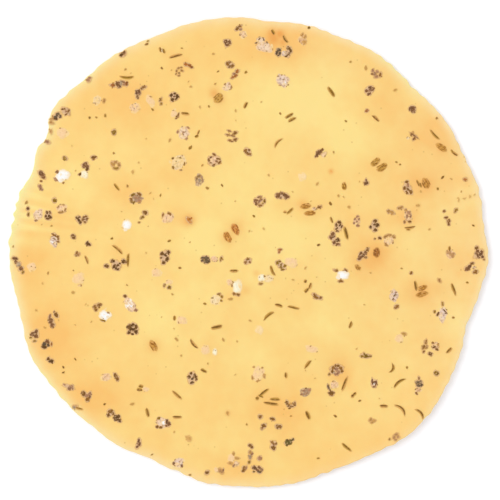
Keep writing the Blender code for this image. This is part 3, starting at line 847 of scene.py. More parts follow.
# Pieces, lengths in millimetres: (tone, how bare, chip, chip ...), each chip of them being
# (x, y, length, width, turn)
HUSKS = (
    ("rust", 0.55, (-76.2, 50, 1.6, 0.8, 0), (-74.5, 50.6, 2.6, 0.7, 15), (-76.3, 46.5, 1.5, 0.5, 90)),
    ("slate", 1, (-73, 50.9, 1.5, 1.5, 0), (-72.2, 52.1, 1.7, 1.1, 35), (-71.2, 51.3, 1.4, 1.1, 100)),
    ("black", 1, (-72.9, 50.3, 1.6, 0.6, 5)),
    ("brown", 1, (-70, 54, 1.7, 0.7, 0), (-68.1, 53.3, 1.5, 0.9, 60), (-68.9, 52.1, 1.4, 0.6, 30)),
    ("mauve", 0.8, (-69, 53.1, 1, 0.9, 0)),
    ("mauve", 1, (-61.1, 65.6, 1.5, 0.9, 40), (-60.2, 66, 1, 0.8, 0)),
    ("plum", 1, (-49.4, 63.6, 1.9, 1.7, 60), (-48.9, 62.6, 1.8, 0.9, 0), (-47.3, 64.3, 1.4, 0.7, -30)),
    ("rust", 1, (-51.3, 63, 2.2, 1, -5), (-46.1, 63.6, 1.7, 0.9, 90)),
    ("mauve", 0.8, (-46.9, 63.4, 1.3, 1.2, 0)),
    ("grey", 1, (-48.2, 63.9, 1.8, 1, 90)),
    ("plum", 1, (-42.3, 60.3, 1.8, 0.8, 80), (-41.2, 60.2, 1.6, 0.8, 100), (-41.8, 61, 1.6, 0.6, 0)),
    ("black", 1, (-41.9, 58.6, 1.5, 1, 90)),
    ("mauve", 1, (-41.7, 60, 1, 0.9, 0)),
    ("brown", 1, (-40.2, 61.9, 1.4, 1, 50), (-39.3, 62.4, 1.5, 0.6, 15)),
    ("plum", 1, (-47.2, 75.5, 1.6, 0.9, 60)),
    ("black", 1, (-48, 74.5, 1.5, 1, 20)),
    ("mauve", 1, (-77.3, 42.3, 1.6, 0.8, -40)),
    ("plum", 1, (-61.7, 33.2, 1.9, 1.4, 20), (-62.3, 32.4, 1.5, 1.1, 90), (-60.9, 32.2, 1.5, 1.2, 70)),
    ("black", 1, (-61, 31.3, 1.4, 1.1, 60), (-63.7, 29.4, 1.3, 1, 30)),
    ("brown", 1, (-58.5, 35.9, 2.1, 1.1, 10), (-58.6, 35.2, 1.1, 0.9, 90)),
    ("olive", 1, (-69.4, 35.5, 1.7, 1.2, -40)),
    ("olive", 1, (-50.9, 45.3, 1.9, 1.6, 70)),
    ("tan", 0.8, (-51.5, 33.2, 2, 1, -60), (-49, 33, 1.6, 0.9, 90), (-50.3, 34, 1.6, 0.6, 0)),
    ("olive", 0.65, (-50.2, 31.6, 2.2, 0.9, 0)),
    ("plum", 1, (-78.5, 29.8, 2.3, 1.7, -60), (-77.8, 28.6, 2.1, 1.6, -50)),
    ("brown", 1, (-78.4, 26.8, 0.9, 0.7, 0)),
    ("mauve", 1, (-78.9, 24.8, 1.4, 1.2, -60), (-78.4, 23.9, 1.5, 1, -50)),
    ("plum", 1, (-72.3, 30.3, 1.3, 1.2, 40)),
    ("mauve", 1, (-72.8, 27.5, 1.8, 0.7, -35)),
    ("brown", 0.8, (-70, 26.2, 1, 0.5, 20)),
    ("olive", 1, (-73.4, 19.5, 1.7, 1.3, 90)),
    ("plum", 1, (-83.4, 16.4, 1.3, 1.1, 0)),
    ("olive", 0.8, (-83.2, 14.2, 1.5, 0.7, 80)),
    ("brown", 1, (-80.3, 12, 1.2, 0.9, 0)),
    ("black", 1, (-76.2, 14.9, 1.2, 1.1, 60), (-75.1, 14.9, 1.2, 1, 100), (-76.6, 13.6, 1.2, 1, 80),
     (-75.4, 13.6, 1.2, 1, 90), (-74.8, 13.1, 1.2, 0.9, 80), (-75.9, 12.6, 1.6, 0.8, 0)),
    ("tan", 0.8, (-70.9, 15, 2.2, 0.8, 10), (-69.4, 16, 1.6, 0.7, 75), (-71.9, 17, 1.2, 0.5, 60),
     (-70, 17.8, 1.2, 0.5, -10)),
    ("black", 1, (-64.8, 12.9, 1.2, 1.2, 0), (-64.2, 12.1, 1.4, 1, 100), (-63.6, 11.2, 1.5, 1, 90),
     (-63.9, 13.2, 1, 0.7, 0)),
    ("brown", 1, (-61.9, 13.3, 1.8, 0.7, 10), (-61.1, 12.5, 1.4, 0.7, 80), (-62.6, 12.3, 1.4, 0.7, 80),
     (-61.9, 11.4, 1.2, 0.6, 0)),
    ("plum", 1, (-61.9, 12.4, 0.8, 0.7, 0)),
    ("brown", 1, (-73.4, 6.3, 1.8, 0.7, -40), (-72.1, 5.4, 1.8, 0.8, -70), (-72.1, 3.9, 1.3, 0.6, 10)),
    ("slate", 0.6, (-73.6, 5, 1.6, 0.9, -30)),
    ("brown", 1, (-66.5, 6.3, 1.3, 1, 0), (-66.2, 5.4, 1.5, 0.8, 0), (-65.7, 5.9, 0.8, 0.8, 0)),
    ("black", 1, (-60.6, 3, 2, 1.2, -20), (-61, 3.6, 1.2, 0.8, 60)),
    ("brown", 1, (-74, 6.8, 1, 0.5, 0)),
    ("brown", 1, (-65, -0.3, 1.2, 0.7, 60), (-64.9, -1.1, 1.7, 0.7, 0)),
    ("mauve", 0.6, (-64.1, -0.7, 1.1, 1, 0)),
    ("brown", 1, (-41.3, 21.9, 2.2, 0.9, -30), (-44.3, 19.9, 1.4, 1, -20)),
    ("olive", 1, (-43.7, 21.7, 2.2, 0.8, 25), (-43.8, 18.9, 1.8, 0.7, -5)),
    ("mauve", 1, (-42.3, 20.5, 2.2, 0.9, -15), (-41.4, 19.4, 1.6, 0.8, 0)),
    ("tan", 1, (-41.3, 18.8, 1.3, 0.6, 0)),
    ("brown", 1, (-39.1, 14.9, 1.7, 1.5, 0)),
    ("olive", 1, (-40.2, 13.2, 1.6, 0.8, 40)),
    ("tan", 0.8, (-41.4, 11.2, 0.9, 0.6, 0)),
    ("black", 1, (-51.4, -3.5, 1.7, 1.2, 10), (-50.8, -5.4, 1.7, 1.3, 60), (-49.6, -5.1, 1.5, 0.7, 50),
     (-49.8, -6.5, 1.9, 0.8, -12), (-48.7, -4.3, 0.8, 0.7, 0)),
    ("black", 1, (-53.7, -5.3, 1.7, 1.4, 0)),
    ("black", 1, (-47.3, -3.6, 1.6, 1.5, 90)),
    ("brown", 1, (-46.3, -3.7, 1.4, 1, 0)),
    ("black", 1, (-32.7, -0.7, 1.5, 1.5, 60), (-30.4, -0.2, 1.5, 1.3, 60), (-31.4, -1.3, 1.7, 0.8, -40),
     (-30.8, -2.7, 1.9, 1.3, 60), (-32.1, -4.1, 1.5, 1.2, 20), (-33.1, -2.2, 0.8, 0.6, 0)),
    ("slate", 1, (-17.1, -2.4, 1.9, 1.5, 20), (-15.9, -2.3, 1.8, 1.4, -30), (-16.4, -3.4, 2, 1.3, 10),
     (-15, -3.3, 1.4, 1.2, 90), (-17.4, -3.2, 1.2, 0.9, 0), (-15.9, -3.9, 1.8, 0.6, 0)),
    ("olive", 1, (-10.4, -2.6, 1.9, 0.6, 75)),
    ("brown", 1, (-0.4, -2.8, 1.5, 0.7, 10), (-1.1, -3.9, 1.2, 1, 60), (0.5, -3.8, 1, 0.8, 0)),
    ("plum", 0.9, (-88.3, -2.4, 2.2, 1.1, 0), (-87.8, -3.9, 1.4, 1.2, 90)),
    ("grey", 1, (-86.9, -4.7, 1.9, 1.5, -50)),
    ("plum", 1, (-86, -6.2, 1.8, 1.4, 20)),
    ("olive", 0.8, (-85.3, -7.7, 1.2, 0.8, 60)),
    ("brown", 0.8, (-58.1, -20.8, 1.8, 1.4, 80), (-56.5, -20.1, 2.3, 1.2, 30), (-57.6, -21.9, 1.4, 0.9, 60)),
    ("brown", 1, (-53.2, -23, 1, 0.8, 0)),
    ("olive", 1, (-55.1, -25.8, 2.2, 0.6, -8)),
    ("brown", 1, (-46.7, -16.7, 1.3, 1.1, 0)),
    ("mauve", 1, (-45.6, -18.4, 0.9, 0.5, 60), (-42.7, -22, 1.4, 0.8, 20)),
    ("plum", 1, (-74.7, -26, 2.1, 1.9, 80), (-74.1, -27.6, 2, 1.7, 60)),
    ("mauve", 1, (-75.1, -24.4, 1.9, 0.6, 70)),
    ("brown", 1, (-72.7, -23.8, 1.9, 1.5, -40), (-73.5, -22.6, 0.9, 0.6, 60)),
    ("plum", 1, (-81.5, -31, 1.9, 1.5, 60), (-80.2, -30.1, 1.8, 1.2, 60), (-80.3, -31.7, 1.7, 1.4, 0)),
    ("olive", 1, (-80.8, -33.6, 1.4, 0.6, 0), (-82.3, -32.3, 0.8, 0.7, 0)),
    ("plum", 1, (-76, -33.9, 1.9, 1.5, -30)),
    ("slate", 1, (-77.1, -34.8, 1.6, 1.5, 60), (-75.7, -35.2, 1.2, 1.2, 0)),
    ("black", 1, (-77.2, -35.9, 2.2, 1.2, -15)),
    ("rust", 0.8, (-74.4, -34.8, 1.4, 0.5, 90)),
    ("black", 1, (-75.7, -40.3, 1.4, 0.9, 60), (-74.6, -41.2, 2, 1.3, 10)),
    ("black", 1, (-45.2, -28.4, 2, 1.4, 80), (-43.8, -27.7, 1.9, 1.4, 60), (-42.5, -28.4, 1.8, 1.3, 100),
     (-43.8, -29.2, 1.6, 1.2, 0), (-45.1, -30.2, 1.7, 1.3, 60), (-42.5, -30.2, 1.8, 1.2, 110),
     (-43.9, -31, 1, 0.8, 0)),
    ("mauve", 1, (-67.6, -51.3, 1.8, 1.3, 60), (-66.6, -51.2, 1.8, 1, 110), (-69.5, -50.2, 1.2, 0.5, -50)),
    ("brown", 1, (-62.3, -53.5, 1.9, 1.5, 80), (-60.8, -55.6, 1.8, 1.3, 40)),
    ("mauve", 1, (-61.2, -54.2, 1.7, 1.2, 0), (-60, -53.6, 1.6, 1, 60)),
    ("plum", 1, (-60, -54.8, 1.3, 0.9, 60)),
    ("brown", 1, (-52.2, -60.2, 2, 1.5, 20), (-52.9, -61.5, 1.6, 1, 80), (-51.3, -61, 1.3, 1, 0)),
    ("black", 1, (-50.1, -62.3, 1.9, 1.6, 30), (-49.1, -62.2, 1.4, 1.2, 80), (-48.9, -63.6, 1.9, 1.2, -50),
     (-50.3, -63.3, 1.2, 0.9, 0)),
    ("grey", 0.8, (-66.2, -59, 1.6, 1, 20)),
    ("brown", 1, (-50.3, -46.7, 1.8, 1.4, -50), (-49.6, -47.8, 1.8, 1.2, -70)),
    ("plum", 1, (-41.4, -71.2, 1.7, 0.8, 80), (-41.1, -72.5, 1.5, 0.9, 80), (-42, -73.5, 1.4, 0.9, 40)),
    ("mauve", 1, (-41.8, -72.4, 0.9, 0.8, 0)),
    ("plum", 1, (-30.9, -64.1, 1.8, 1.2, 80), (-30.1, -64.9, 1.8, 1.1, 100), (-30.8, -65.6, 1.3, 0.8, 0)),
    ("olive", 1, (-33.9, -62.8, 1.2, 1.1, 0)),
    ("brown", 1, (-34.5, -66, 1.3, 1, 0), (-33.1, -66.2, 1.5, 0.9, 10)),
    ("black", 1, (-22.4, -47.3, 1.7, 1.2, 80), (-20.3, -46.9, 2, 1.2, 100), (-21.4, -49.4, 1.7, 1, 20),
     (-21.7, -45.9, 1.2, 0.9, 0)),
    ("slate", 0.8, (-21.3, -48, 1.2, 1, 0)),
    ("brown", 1, (-19.8, -48.2, 1.1, 0.8, 60)),
    ("plum", 1, (-28.2, -79.7, 1.2, 1, 0), (-25.2, -80.6, 1.2, 0.9, 90)),
    ("brown", 1, (-15.6, -83.2, 1.6, 1.2, 20)),
    ("mauve", 0.55, (-10.7, -82.4, 1.8, 1.7, 60), (-10, -83, 1.5, 1.1, 60)),
    ("plum", 1, (-9.6, -82.4, 1.2, 0.5, 80)),
    ("tan", 0.55, (-5.7, -76.2, 1.3, 0.9, 90), (-4.4, -77.9, 1.6, 0.9, 0), (-6.8, -79.7, 2, 0.8, 0)),
    ("mauve", 0.8, (-5.4, -80.6, 1.4, 0.6, 60)),
    ("brown", 1, (-1.7, -81.7, 1.9, 1.1, 80), (-2, -82.6, 1.2, 0.9, 0)),
    ("mauve", 0.8, (-0.9, -81.5, 1.4, 0.6, 80)),
    ("brown", 1, (0.6, -73.1, 1.4, 1.2, 0), (1.2, -73.7, 1.3, 1, -30)),
    ("tan", 0.8, (0.6, -75.6, 1.6, 0.8, 90)),
    ("grey", 0.8, (0.6, -77.4, 1.8, 1.2, 80)),
    ("mauve", 1, (1.3, -76.2, 1.2, 0.7, 70)),
    ("olive", 0.8, (0.3, -79.3, 1.4, 0.9, 50)),
    ("mauve", 1, (4.2, -77.9, 1.6, 1.3, 90)),
    ("plum", 1, (2.2, -81.5, 1.9, 1.3, -10), (4, -81.4, 1.5, 1, -20), (3.3, -82.2, 1.6, 0.9, -10),
     (5, -82.2, 1.2, 1.1, 60)),
    ("slate", 1, (4, -83, 1.6, 0.8, -10)),
    ("olive", 1, (2, -82.9, 0.9, 0.7, 0)),
    ("brown", 1, (5.7, -65.6, 1.6, 1.2, 40), (5.1, -66.7, 1.3, 0.8, 60), (6.3, -65.9, 0.9, 0.7, 0)),
    ("brown", 1, (10.9, -66, 1.7, 1.3, 90), (12, -66, 1.4, 1.1, 90)),
    ("brown", 1, (4.4, -62.3, 1.6, 1.2, 90)),
    ("brown", 1, (9.1, -63.1, 2, 0.9, -20)),
    ("brown", 1, (9.1, -72.1, 1.7, 0.9, -40), (10.3, -72.5, 1.2, 0.8, 60), (9.4, -74, 1.6, 1.5, 90),
     (8.8, -73.7, 0.9, 0.8, 0)),
    ("mauve", 1, (9.6, -73, 0.9, 0.7, 0)),
    ("moss", 1, (15, -72, 2.6, 1.9, 0), (15.5, -71.6, 2, 1.5, 30), (16.7, -70.9, 1.3, 0.7, 50)),
    ("mauve", 0.8, (20.2, -53.6, 1.3, 1.2, 0), (20.9, -52.4, 1.4, 1.2, 30), (21.9, -53.3, 1.5, 1.2, 0),
     (22.9, -52.3, 1.5, 1.1, 40)),
    ("brown", 0.8, (19.9, -53.9, 0.8, 0.6, 0), (21.7, -51.6, 0.8, 0.6, 30)),
    ("brown", 1, (31.4, -53.2, 2.6, 1, 3), (31.4, -53.9, 1.7, 0.8, 0)),
    ("slate", 1, (30.3, -51.2, 2.6, 0.7, 112)),
    ("brown", 1, (14.6, -57, 1.9, 0.8, 110), (15.8, -58.3, 2.4, 0.9, -5)),
    ("brown", 1, (17.4, -57.4, 1.8, 0.8, 80)),
    ("tan", 0.4, (16, -57.4, 1.2, 0.7, 0)),
    ("brown", 1, (33.5, -43.1, 2, 1.1, 0), (32, -43.9, 1.6, 1.2, 60), (34.9, -43.9, 1.6, 1.2, -50),
     (31.7, -45.1, 1.6, 1, 80), (35.3, -45, 1.4, 1, 80)),
    ("mauve", 1, (33.3, -44.3, 1.5, 1.2, 0), (34, -45.4, 1.5, 1.2, 0), (33.2, -46.1, 1.8, 0.7, 0)),
    ("grey", 0.8, (32.4, -45.6, 1, 0.8, 0)),
    ("olive", 0.8, (30.6, -46.2, 1.2, 0.7, 50)),
    ("olive", 1, (43.1, -39.4, 1.6, 0.7, 5), (44.4, -39.4, 1.7, 1.3, 20), (45.8, -39.4, 1.5, 0.6, 5),
     (43.8, -38.6, 1.3, 0.6, -60)),
    ("plum", 1, (46.8, -49, 2.4, 0.7, 95), (48.1, -49.6, 2.4, 0.7, 85), (47.4, -50.9, 1.2, 0.6, 0)),
    ("slate", 1, (63.7, -49.2, 1.6, 1.4, 80), (64.8, -49.1, 1.6, 1.4, 100), (64.1, -50.3, 1.7, 1.3, 0),
     (65.2, -50.2, 1.3, 1, 60)),
    ("brown", 1, (64.3, -47.6, 1.2, 0.7, 90), (63.3, -53.3, 1.2, 0.7, -50)),
    ("olive", 1, (70.4, -45.4, 1.4, 0.8, 60), (71.3, -45.6, 1.3, 0.8, 110), (70.8, -46.3, 1, 0.6, 0)),
    ("brown", 0.75, (66.9, -34, 2, 0.9, 80), (66.1, -35.9, 2.2, 0.9, 65), (67.2, -35.8, 1.5, 0.7, 70),
     (66.1, -37.6, 1.2, 0.8, 45)),
    ("black", 1, (68.6, -38.4, 1.6, 1.2, 0)),
    ("brown", 0.8, (69.5, -34.3, 1, 0.8, 0), (70, -35.9, 1.6, 0.8, 30), (71, -36.7, 1.5, 0.8, -20)),
    ("tan", 0.8, (71.4, -34.9, 1.2, 0.8, 60)),
    ("olive", 0.55, (58.8, -30.9, 2.2, 0.8, -20)),
    ("brown", 1, (55.9, -20.7, 1.9, 1.4, 30)),
    ("black", 1, (55.2, -16.4, 1.8, 0.5, 60), (54.7, -17.7, 1.5, 0.4, 50)),
    ("mauve", 1, (55.8, -15.4, 1, 0.5, 60)),
    ("black", 1, (71.5, -23.4, 1.7, 0.7, 55), (74.2, -22.4, 2.6, 0.6, -50)),
    ("olive", 0.8, (73.3, -19.6, 1.5, 0.8, 90), (70.3, -22.6, 1.2, 0.9, 60), (77.2, -24.7, 0.9, 0.7, 0)),
    ("plum", 1, (86.3, 0.1, 1.7, 1.3, 60), (87.5, -0.9, 1.8, 1.4, -30), (88.2, -1.8, 1.2, 1, -50),
     (86.4, -1.1, 1.2, 0.8, 0)),
    ("brown", 1, (86, 1.6, 1.5, 1.1, 40), (88.7, -2.8, 0.7, 0.6, 0)),
    ("plum", 1, (82.6, -6.3, 1.9, 1.6, 0), (83.4, -5.4, 1.5, 1.2, 40)),
    ("brown", 1, (84.4, -4.3, 1.5, 0.9, 15), (85.5, -7.4, 1.8, 1.4, 30)),
    ("mauve", 0.55, (75.6, -0.3, 2, 1.8, 0), (76.9, -1, 2, 1.8, 60)),
    ("brown", 1, (61.5, -7.9, 1.2, 1, 60)),
    ("plum", 0.55, (72.1, -10.8, 1.7, 0.7, -60)),
    ("plum", 1, (61.3, 54.2, 1.8, 1.5, 60), (62.3, 54.4, 1.6, 1.4, -30), (62.2, 53.3, 1.7, 1.3, 10)),
    ("mauve", 0.8, (46.9, 68.4, 1.3, 1, 60), (47.6, 67.3, 1.5, 1.1, 80), (48.2, 66.2, 1.6, 0.9, 0),
     (48.6, 68.1, 1.2, 0.8, 0)),
    ("brown", 0.8, (49.7, 66.9, 1.8, 0.9, 75), (46.6, 67.2, 0.9, 0.6, 0)),
    ("plum", 1, (44.5, 60.9, 1.4, 1.1, 80), (45.5, 59.8, 1.6, 0.9, 10), (46.9, 61.6, 1.6, 0.9, 80),
     (45.9, 62.2, 1.8, 0.8, 15)),
    ("mauve", 1, (45.7, 61, 1.4, 1.1, 30)),
    ("rust", 1, (44.7, 53.4, 1.4, 1, 10)),
    ("plum", 0.75, (62.6, 44, 4.2, 0.6, -36), (62.5, 42.8, 1.7, 0.7, 50), (61.6, 44.3, 1, 0.5, 60)),
    ("brown", 1, (59.8, 26.5, 1.4, 0.9, 20), (59, 24.2, 1.5, 1, 70), (60.3, 23.7, 1.6, 0.8, -30),
     (61.4, 22.7, 1.7, 1.2, -50), (59.9, 22.6, 1.5, 0.6, -40)),
    ("mauve", 1, (60.2, 25.3, 1.6, 0.8, 70)),
    ("tan", 1, (53, 15.4, 1.4, 1, 80), (54.3, 15, 2, 1.1, -30)),
    ("tan", 1, (57.4, 16.7, 2.1, 0.9, 15), (59.5, 15.8, 1.2, 1, 0)),
    ("mauve", 0.8, (60.5, 14.8, 1.8, 1.2, -60), (59.9, 13.4, 1.8, 1.1, 80), (61.3, 13.6, 1.5, 0.8, 80)),
    ("brown", 0.8, (59, 11.4, 1.2, 0.9, 90), (60.9, 11.5, 1.3, 0.9, 20)),
    ("brown", 1, (75.6, 11.7, 1.5, 1.1, 0), (75.6, 10.6, 1.3, 0.8, 90)),
    ("brown", 1, (73.9, 15.4, 1.1, 0.9, 0), (74.6, 13, 1.3, 0.8, 0)),
    ("olive", 0.8, (78.2, 15.7, 1.9, 0.7, 70)),
    ("rust", 0.8, (81.7, 27.4, 1.5, 1, 0)),
    ("brown", 0.6, (51.9, 5.9, 1.8, 0.8, 20), (53.3, 6.4, 1.8, 0.6, 0), (54.9, 5.7, 1.6, 0.9, -40),
     (52.1, 2.9, 1.6, 0.7, -50)),
    ("brown", 1, (49.7, 5.3, 1.4, 1, -20)),
    ("olive", 0.8, (47.8, 5, 0.8, 0.7, 0)),
    ("black", 1, (47.9, 11.7, 1.7, 1.3, 0), (48.6, 10.2, 1.7, 1.4, 20), (47.6, 10.3, 1, 0.9, 0),
     (47.9, 8.3, 1.5, 1.2, 0), (46.2, 9.4, 1.3, 1, 80)),
    ("plum", 1, (42.1, -2.3, 1.9, 1.4, 50), (43.3, -1.4, 1.8, 1.1, 60), (42.5, -0.6, 1.6, 0.9, 60),
     (44, -0.4, 1.8, 0.9, 60)),
    ("brown", 1, (45, 1, 1.5, 0.9, 30), (44.3, -2, 1.2, 0.8, 0)),
    ("black", 1, (34.3, 11.2, 1.6, 0.9, 0), (33.2, 10.2, 1.6, 0.8, 80), (34.6, 10.2, 1.4, 0.6, 50),
     (35.2, 9.6, 1.3, 0.6, 60), (33.4, 8.9, 1.5, 0.6, 50), (33.6, 7.9, 1.2, 0.8, 0)),
    ("plum", 1, (31.9, 6.8, 1.8, 1.4, 60), (31.2, 5.6, 1.7, 1.4, 70), (32.1, 5.9, 1.4, 1.1, 0),
     (32.4, 3.7, 1.8, 1.1, 80)),
    ("black", 1, (33.6, 4.5, 1.7, 1.5, 0)),
    ("plum", 1, (33.8, 3, 1.9, 0.9, -10)),
    ("mauve", 0.8, (41.3, 13.4, 1.3, 0.8, 0), (40.3, 12.4, 1.2, 0.7, 70), (41.8, 12.4, 1.2, 0.6, 80),
     (41, 11.4, 1.1, 0.8, 30), (40, 10.9, 1, 0.8, 0), (41.3, 10, 1.5, 0.9, 0)),
    ("plum", 1, (26, 36.9, 1.9, 1, 55), (26.8, 37.6, 1.6, 0.9, 50)),
    ("brown", 1, (27.6, 38.5, 1.7, 0.7, 10), (25.4, 36.2, 1, 0.6, 50)),
    ("plum", 1, (44.5, 26.1, 1.9, 1.3, 0), (44.5, 27, 1.3, 0.8, 90)),
    ("plum", 1, (11.2, 21.5, 2, 1.6, -40), (12.4, 22.1, 2, 1, 10), (13.8, 21.5, 2, 1.3, -10),
     (14.7, 20.9, 1.5, 1.2, 0), (12, 20.5, 1.1, 0.8, 0)),
    ("plum", 1, (2.7, 19.3, 1.7, 1.3, 80), (3, 18.2, 1.2, 0.9, 0)),
    ("brown", 1, (4.2, 20.7, 2, 0.7, 5), (4.5, 17.6, 1.6, 0.7, 10)),
    ("olive", 1, (6, 19.4, 1.6, 0.7, 80), (5.4, 18.3, 0.9, 0.6, 0)),
    ("brown", 1, (-1, 38.2, 1.7, 1.1, 80), (0.1, 37.1, 1.9, 1, -15), (0.2, 38.6, 1, 0.7, 0)),
    ("brown", 0.8, (-5.1, 45, 1.6, 1.2, 20), (-5, 42.6, 1.7, 0.9, 20), (-7.2, 45.8, 1.5, 0.4, -15),
     (-7.8, 44.3, 1.7, 0.4, -15), (-6, 43.9, 1.9, 0.4, -20), (-7.1, 42.3, 1.4, 0.5, 5),
     (-6.2, 41.8, 1, 0.4, 0)),
    ("brown", 1, (-13, 36.9, 1.5, 0.7, -20), (-11.4, 35.3, 1.7, 0.6, -10), (-11, 33.9, 1.5, 0.8, 40),
     (-15, 34.9, 1.5, 0.7, 90), (-14.2, 33.8, 1.1, 0.6, 0), (-13.2, 32.9, 1.5, 0.6, 20)),
    ("plum", 1, (-14.2, 35.8, 1.2, 0.6, 30), (-12.2, 34.4, 1, 0.6, 0)),
    ("slate", 0.6, (-19.6, 27.7, 2.2, 1, 80), (-18.8, 28.7, 2, 0.9, 20), (-17.6, 27.2, 1.8, 0.7, 80)),
    ("grey", 0.8, (-18.5, 27, 1.8, 1.4, 80)),
    ("black", 1, (-29.2, 59.3, 1.5, 1.2, 30), (-27.9, 59.9, 1.4, 0.8, 10), (-27, 58.9, 1.7, 1.1, 80),
     (-28.7, 57.7, 1.7, 1.1, 20), (-27.4, 57.9, 1.1, 0.7, 60)),
    ("plum", 1, (-28.1, 58.8, 0.9, 0.8, 0)),
    ("brown", 1, (-7.9, 71, 1.8, 1, -60), (-7.2, 71.7, 1.5, 0.5, -10), (-7.2, 70.1, 1.5, 0.8, 20),
     (-6.1, 70.3, 1.5, 1.1, 50)),
    ("rust", 0.9, (-4.3, 68.3, 1.6, 1, 60), (-4.9, 66.7, 1.5, 0.9, 30), (-6, 66, 1.6, 0.6, 25)),
    ("mauve", 1, (-5.5, 67.3, 1.2, 0.9, 0)),
    ("rust", 1, (-23.6, 70.9, 1.6, 1, -5), (-22.4, 70.5, 1.5, 1, -30), (-21.6, 69.9, 1.2, 0.8, -30)),
    ("brown", 0.65, (-26.5, 69.5, 1.1, 0.6, 20), (-25.4, 69.8, 0.9, 0.6, 0), (-27.2, 68.4, 1, 0.6, 60),
     (-25.2, 68.6, 1.3, 0.6, -35), (-26.3, 67.7, 0.9, 0.5, 0), (-27.4, 67.3, 0.8, 0.5, 60),
     (-26.4, 66.7, 1.1, 0.6, 10)),
    ("plum", 1, (-8.6, 79.5, 1.7, 1.4, 30), (-7.4, 79.2, 1.7, 1.4, 60), (-8, 78.2, 1.7, 1, 0)),
    ("brown", 1, (-4.3, 84.2, 1.7, 1, 40), (-3.4, 85.1, 1.8, 0.6, 20)),
    ("mauve", 1, (-3, 84.1, 1.3, 0.9, 0)),
    ("slate", 1, (11.4, 76.3, 1.6, 1.3, 0), (10.7, 75.2, 1.5, 1.1, 80), (11.9, 75.1, 1.4, 1, 60),
     (11.3, 74.3, 1, 0.7, 0)),
    ("black", 1, (15.2, 77, 1.8, 1.1, -50), (15.9, 76.1, 1.5, 1.1, 80), (15.2, 74.9, 1.5, 0.7, 60),
     (14.3, 74, 1.3, 0.6, 20)),
    ("tan", 0.55, (20.2, 82, 1.6, 0.5, 60), (21.3, 81.2, 1.8, 0.9, 60), (21, 79.3, 2.2, 1.6, 0)),
    ("slate", 0.8, (4.1, 80.4, 1.5, 0.5, 45), (5.7, 80.3, 1.4, 0.5, -55), (2.9, 79, 1, 0.4, 20),
     (7, 79.1, 1.1, 0.4, -60)),
    ("slate", 0.55, (11.2, 66.4, 0.8, 0.5, 0), (12.6, 66.9, 0.8, 0.4, 0), (13.2, 65.2, 1.2, 0.4, 10),
     (11.9, 63.1, 1, 0.4, 0), (15, 63.2, 0.7, 0.4, 30)),
    ("olive", 1, (10.8, -4.1, 1.6, 0.8, 80), (11.7, -3.6, 1.3, 0.7, -10), (12.4, -4.6, 0.9, 0.6, 40),
     (12.3, -5.7, 1.5, 0.7, 100), (13.6, -5.3, 1.5, 0.7, 75), (13, -6.6, 1.3, 0.7, 0)),
    ("brown", 1, (25, -16.3, 1.8, 0.9, -65), (25.8, -17.3, 1.9, 0.9, -10), (27.3, -17.3, 1.2, 0.8, 20)),
    ("brown", 0.8, (33.1, -7, 1.7, 0.9, -25), (36.8, -6.9, 1.7, 0.7, -45), (34.9, -11, 2.1, 0.9, -12)),
    ("brown", 0.8, (-5.4, -15.8, 1.3, 1, -30), (-3.9, -16.1, 1.5, 0.9, -10)),
    ("slate", 0.55, (-5.9, -11.4, 1, 0.5, -30), (-6.2, -12.8, 0.9, 0.7, 80)),
    ("olive", 0.8, (-13.6, -17.4, 1.1, 0.5, 0), (-11.2, -15.9, 1.5, 0.6, 10), (-10.2, -16.9, 1.3, 0.8, 70),
     (-10.3, -18.4, 1, 0.8, 0)),
    ("olive", 1, (-30, -13.4, 1.5, 1.1, 30), (-31.8, -12.6, 1.3, 0.8, 70)),
    ("brown", 0.8, (-29.8, 14.4, 1.8, 1, -30), (-32.4, 13.9, 1.8, 0.6, 80)),
    ("mauve", 0.8, (-24.8, 45, 1.8, 0.5, 90), (-26.8, 45.5, 1.4, 0.5, 80), (-23.5, 42.9, 1.2, 0.8, 40),
     (-22.8, 47, 1.2, 0.5, -40)),
    ("olive", 0.8, (-28.4, 32, 1.3, 0.8, 100), (-28.6, 35.4, 1, 0.8, 60), (-25.8, 35.6, 1.3, 0.5, -20),
     (-24.3, 33.4, 1.4, 0.5, 80), (-25.6, 31, 1.1, 0.4, 0)),
    ("olive", 0.8, (6.1, -9.2, 1.3, 0.5, -20), (4.6, -12, 1.5, 0.7, 0)),
    ("brown", 0.8, (-26.6, 51.7, 2.2, 0.5, 75), (-27.3, 50.6, 1.1, 0.4, 20)),
    ("olive", 0.8, (-33.3, 57.6, 1.6, 0.5, 60), (-33.1, 56.1, 1.2, 0.8, 80)),
    ("plum", 0.6, (-6.6, 62.3, 1.4, 0.6, 80), (-8.9, 63.5, 0.9, 0.5, 60)),
    ("brown", 0.55, (-54.6, 57.2, 1.5, 1, 70)),
    ("rust", 1, (11.9, 0.9, 1.4, 0.8, 0), (11.6, 0.1, 1.3, 0.7, 70)),
    ("amber", 1, (-22.5, 12.1, 2.6, 1.5, -58)),
    ("brown", 0.8, (26.8, 17, 1.8, 0.9, 15)),
    ("mauve", 0.6, (55.6, -68.7, 1.5, 0.9, 20), (54.8, -69.8, 1.4, 0.9, 80), (56.3, -69.6, 1.2, 0.8, 60),
     (55.3, -70.6, 1.2, 0.6, 0)),
    ("olive", 0.6, (53.1, -70.5, 0.9, 0.6, 60)),
    ("tan", 0.6, (46, -63.3, 1.5, 0.9, 50), (47.3, -63.6, 1.4, 1, 0), (46.5, -64.3, 1.2, 0.7, 0)),
    ("tan", 0.4, (-22.6, -70.4, 2.6, 1.6, -35)),
    ("tan", 0.6, (2, -43.5, 0.9, 0.7, 0), (5.2, -43.8, 0.8, 0.5, 0), (5.9, -46.8, 1.8, 0.5, 100),
     (1.5, -47.5, 1.4, 0.5, 90), (3.6, -48.6, 1.8, 0.4, 5)),
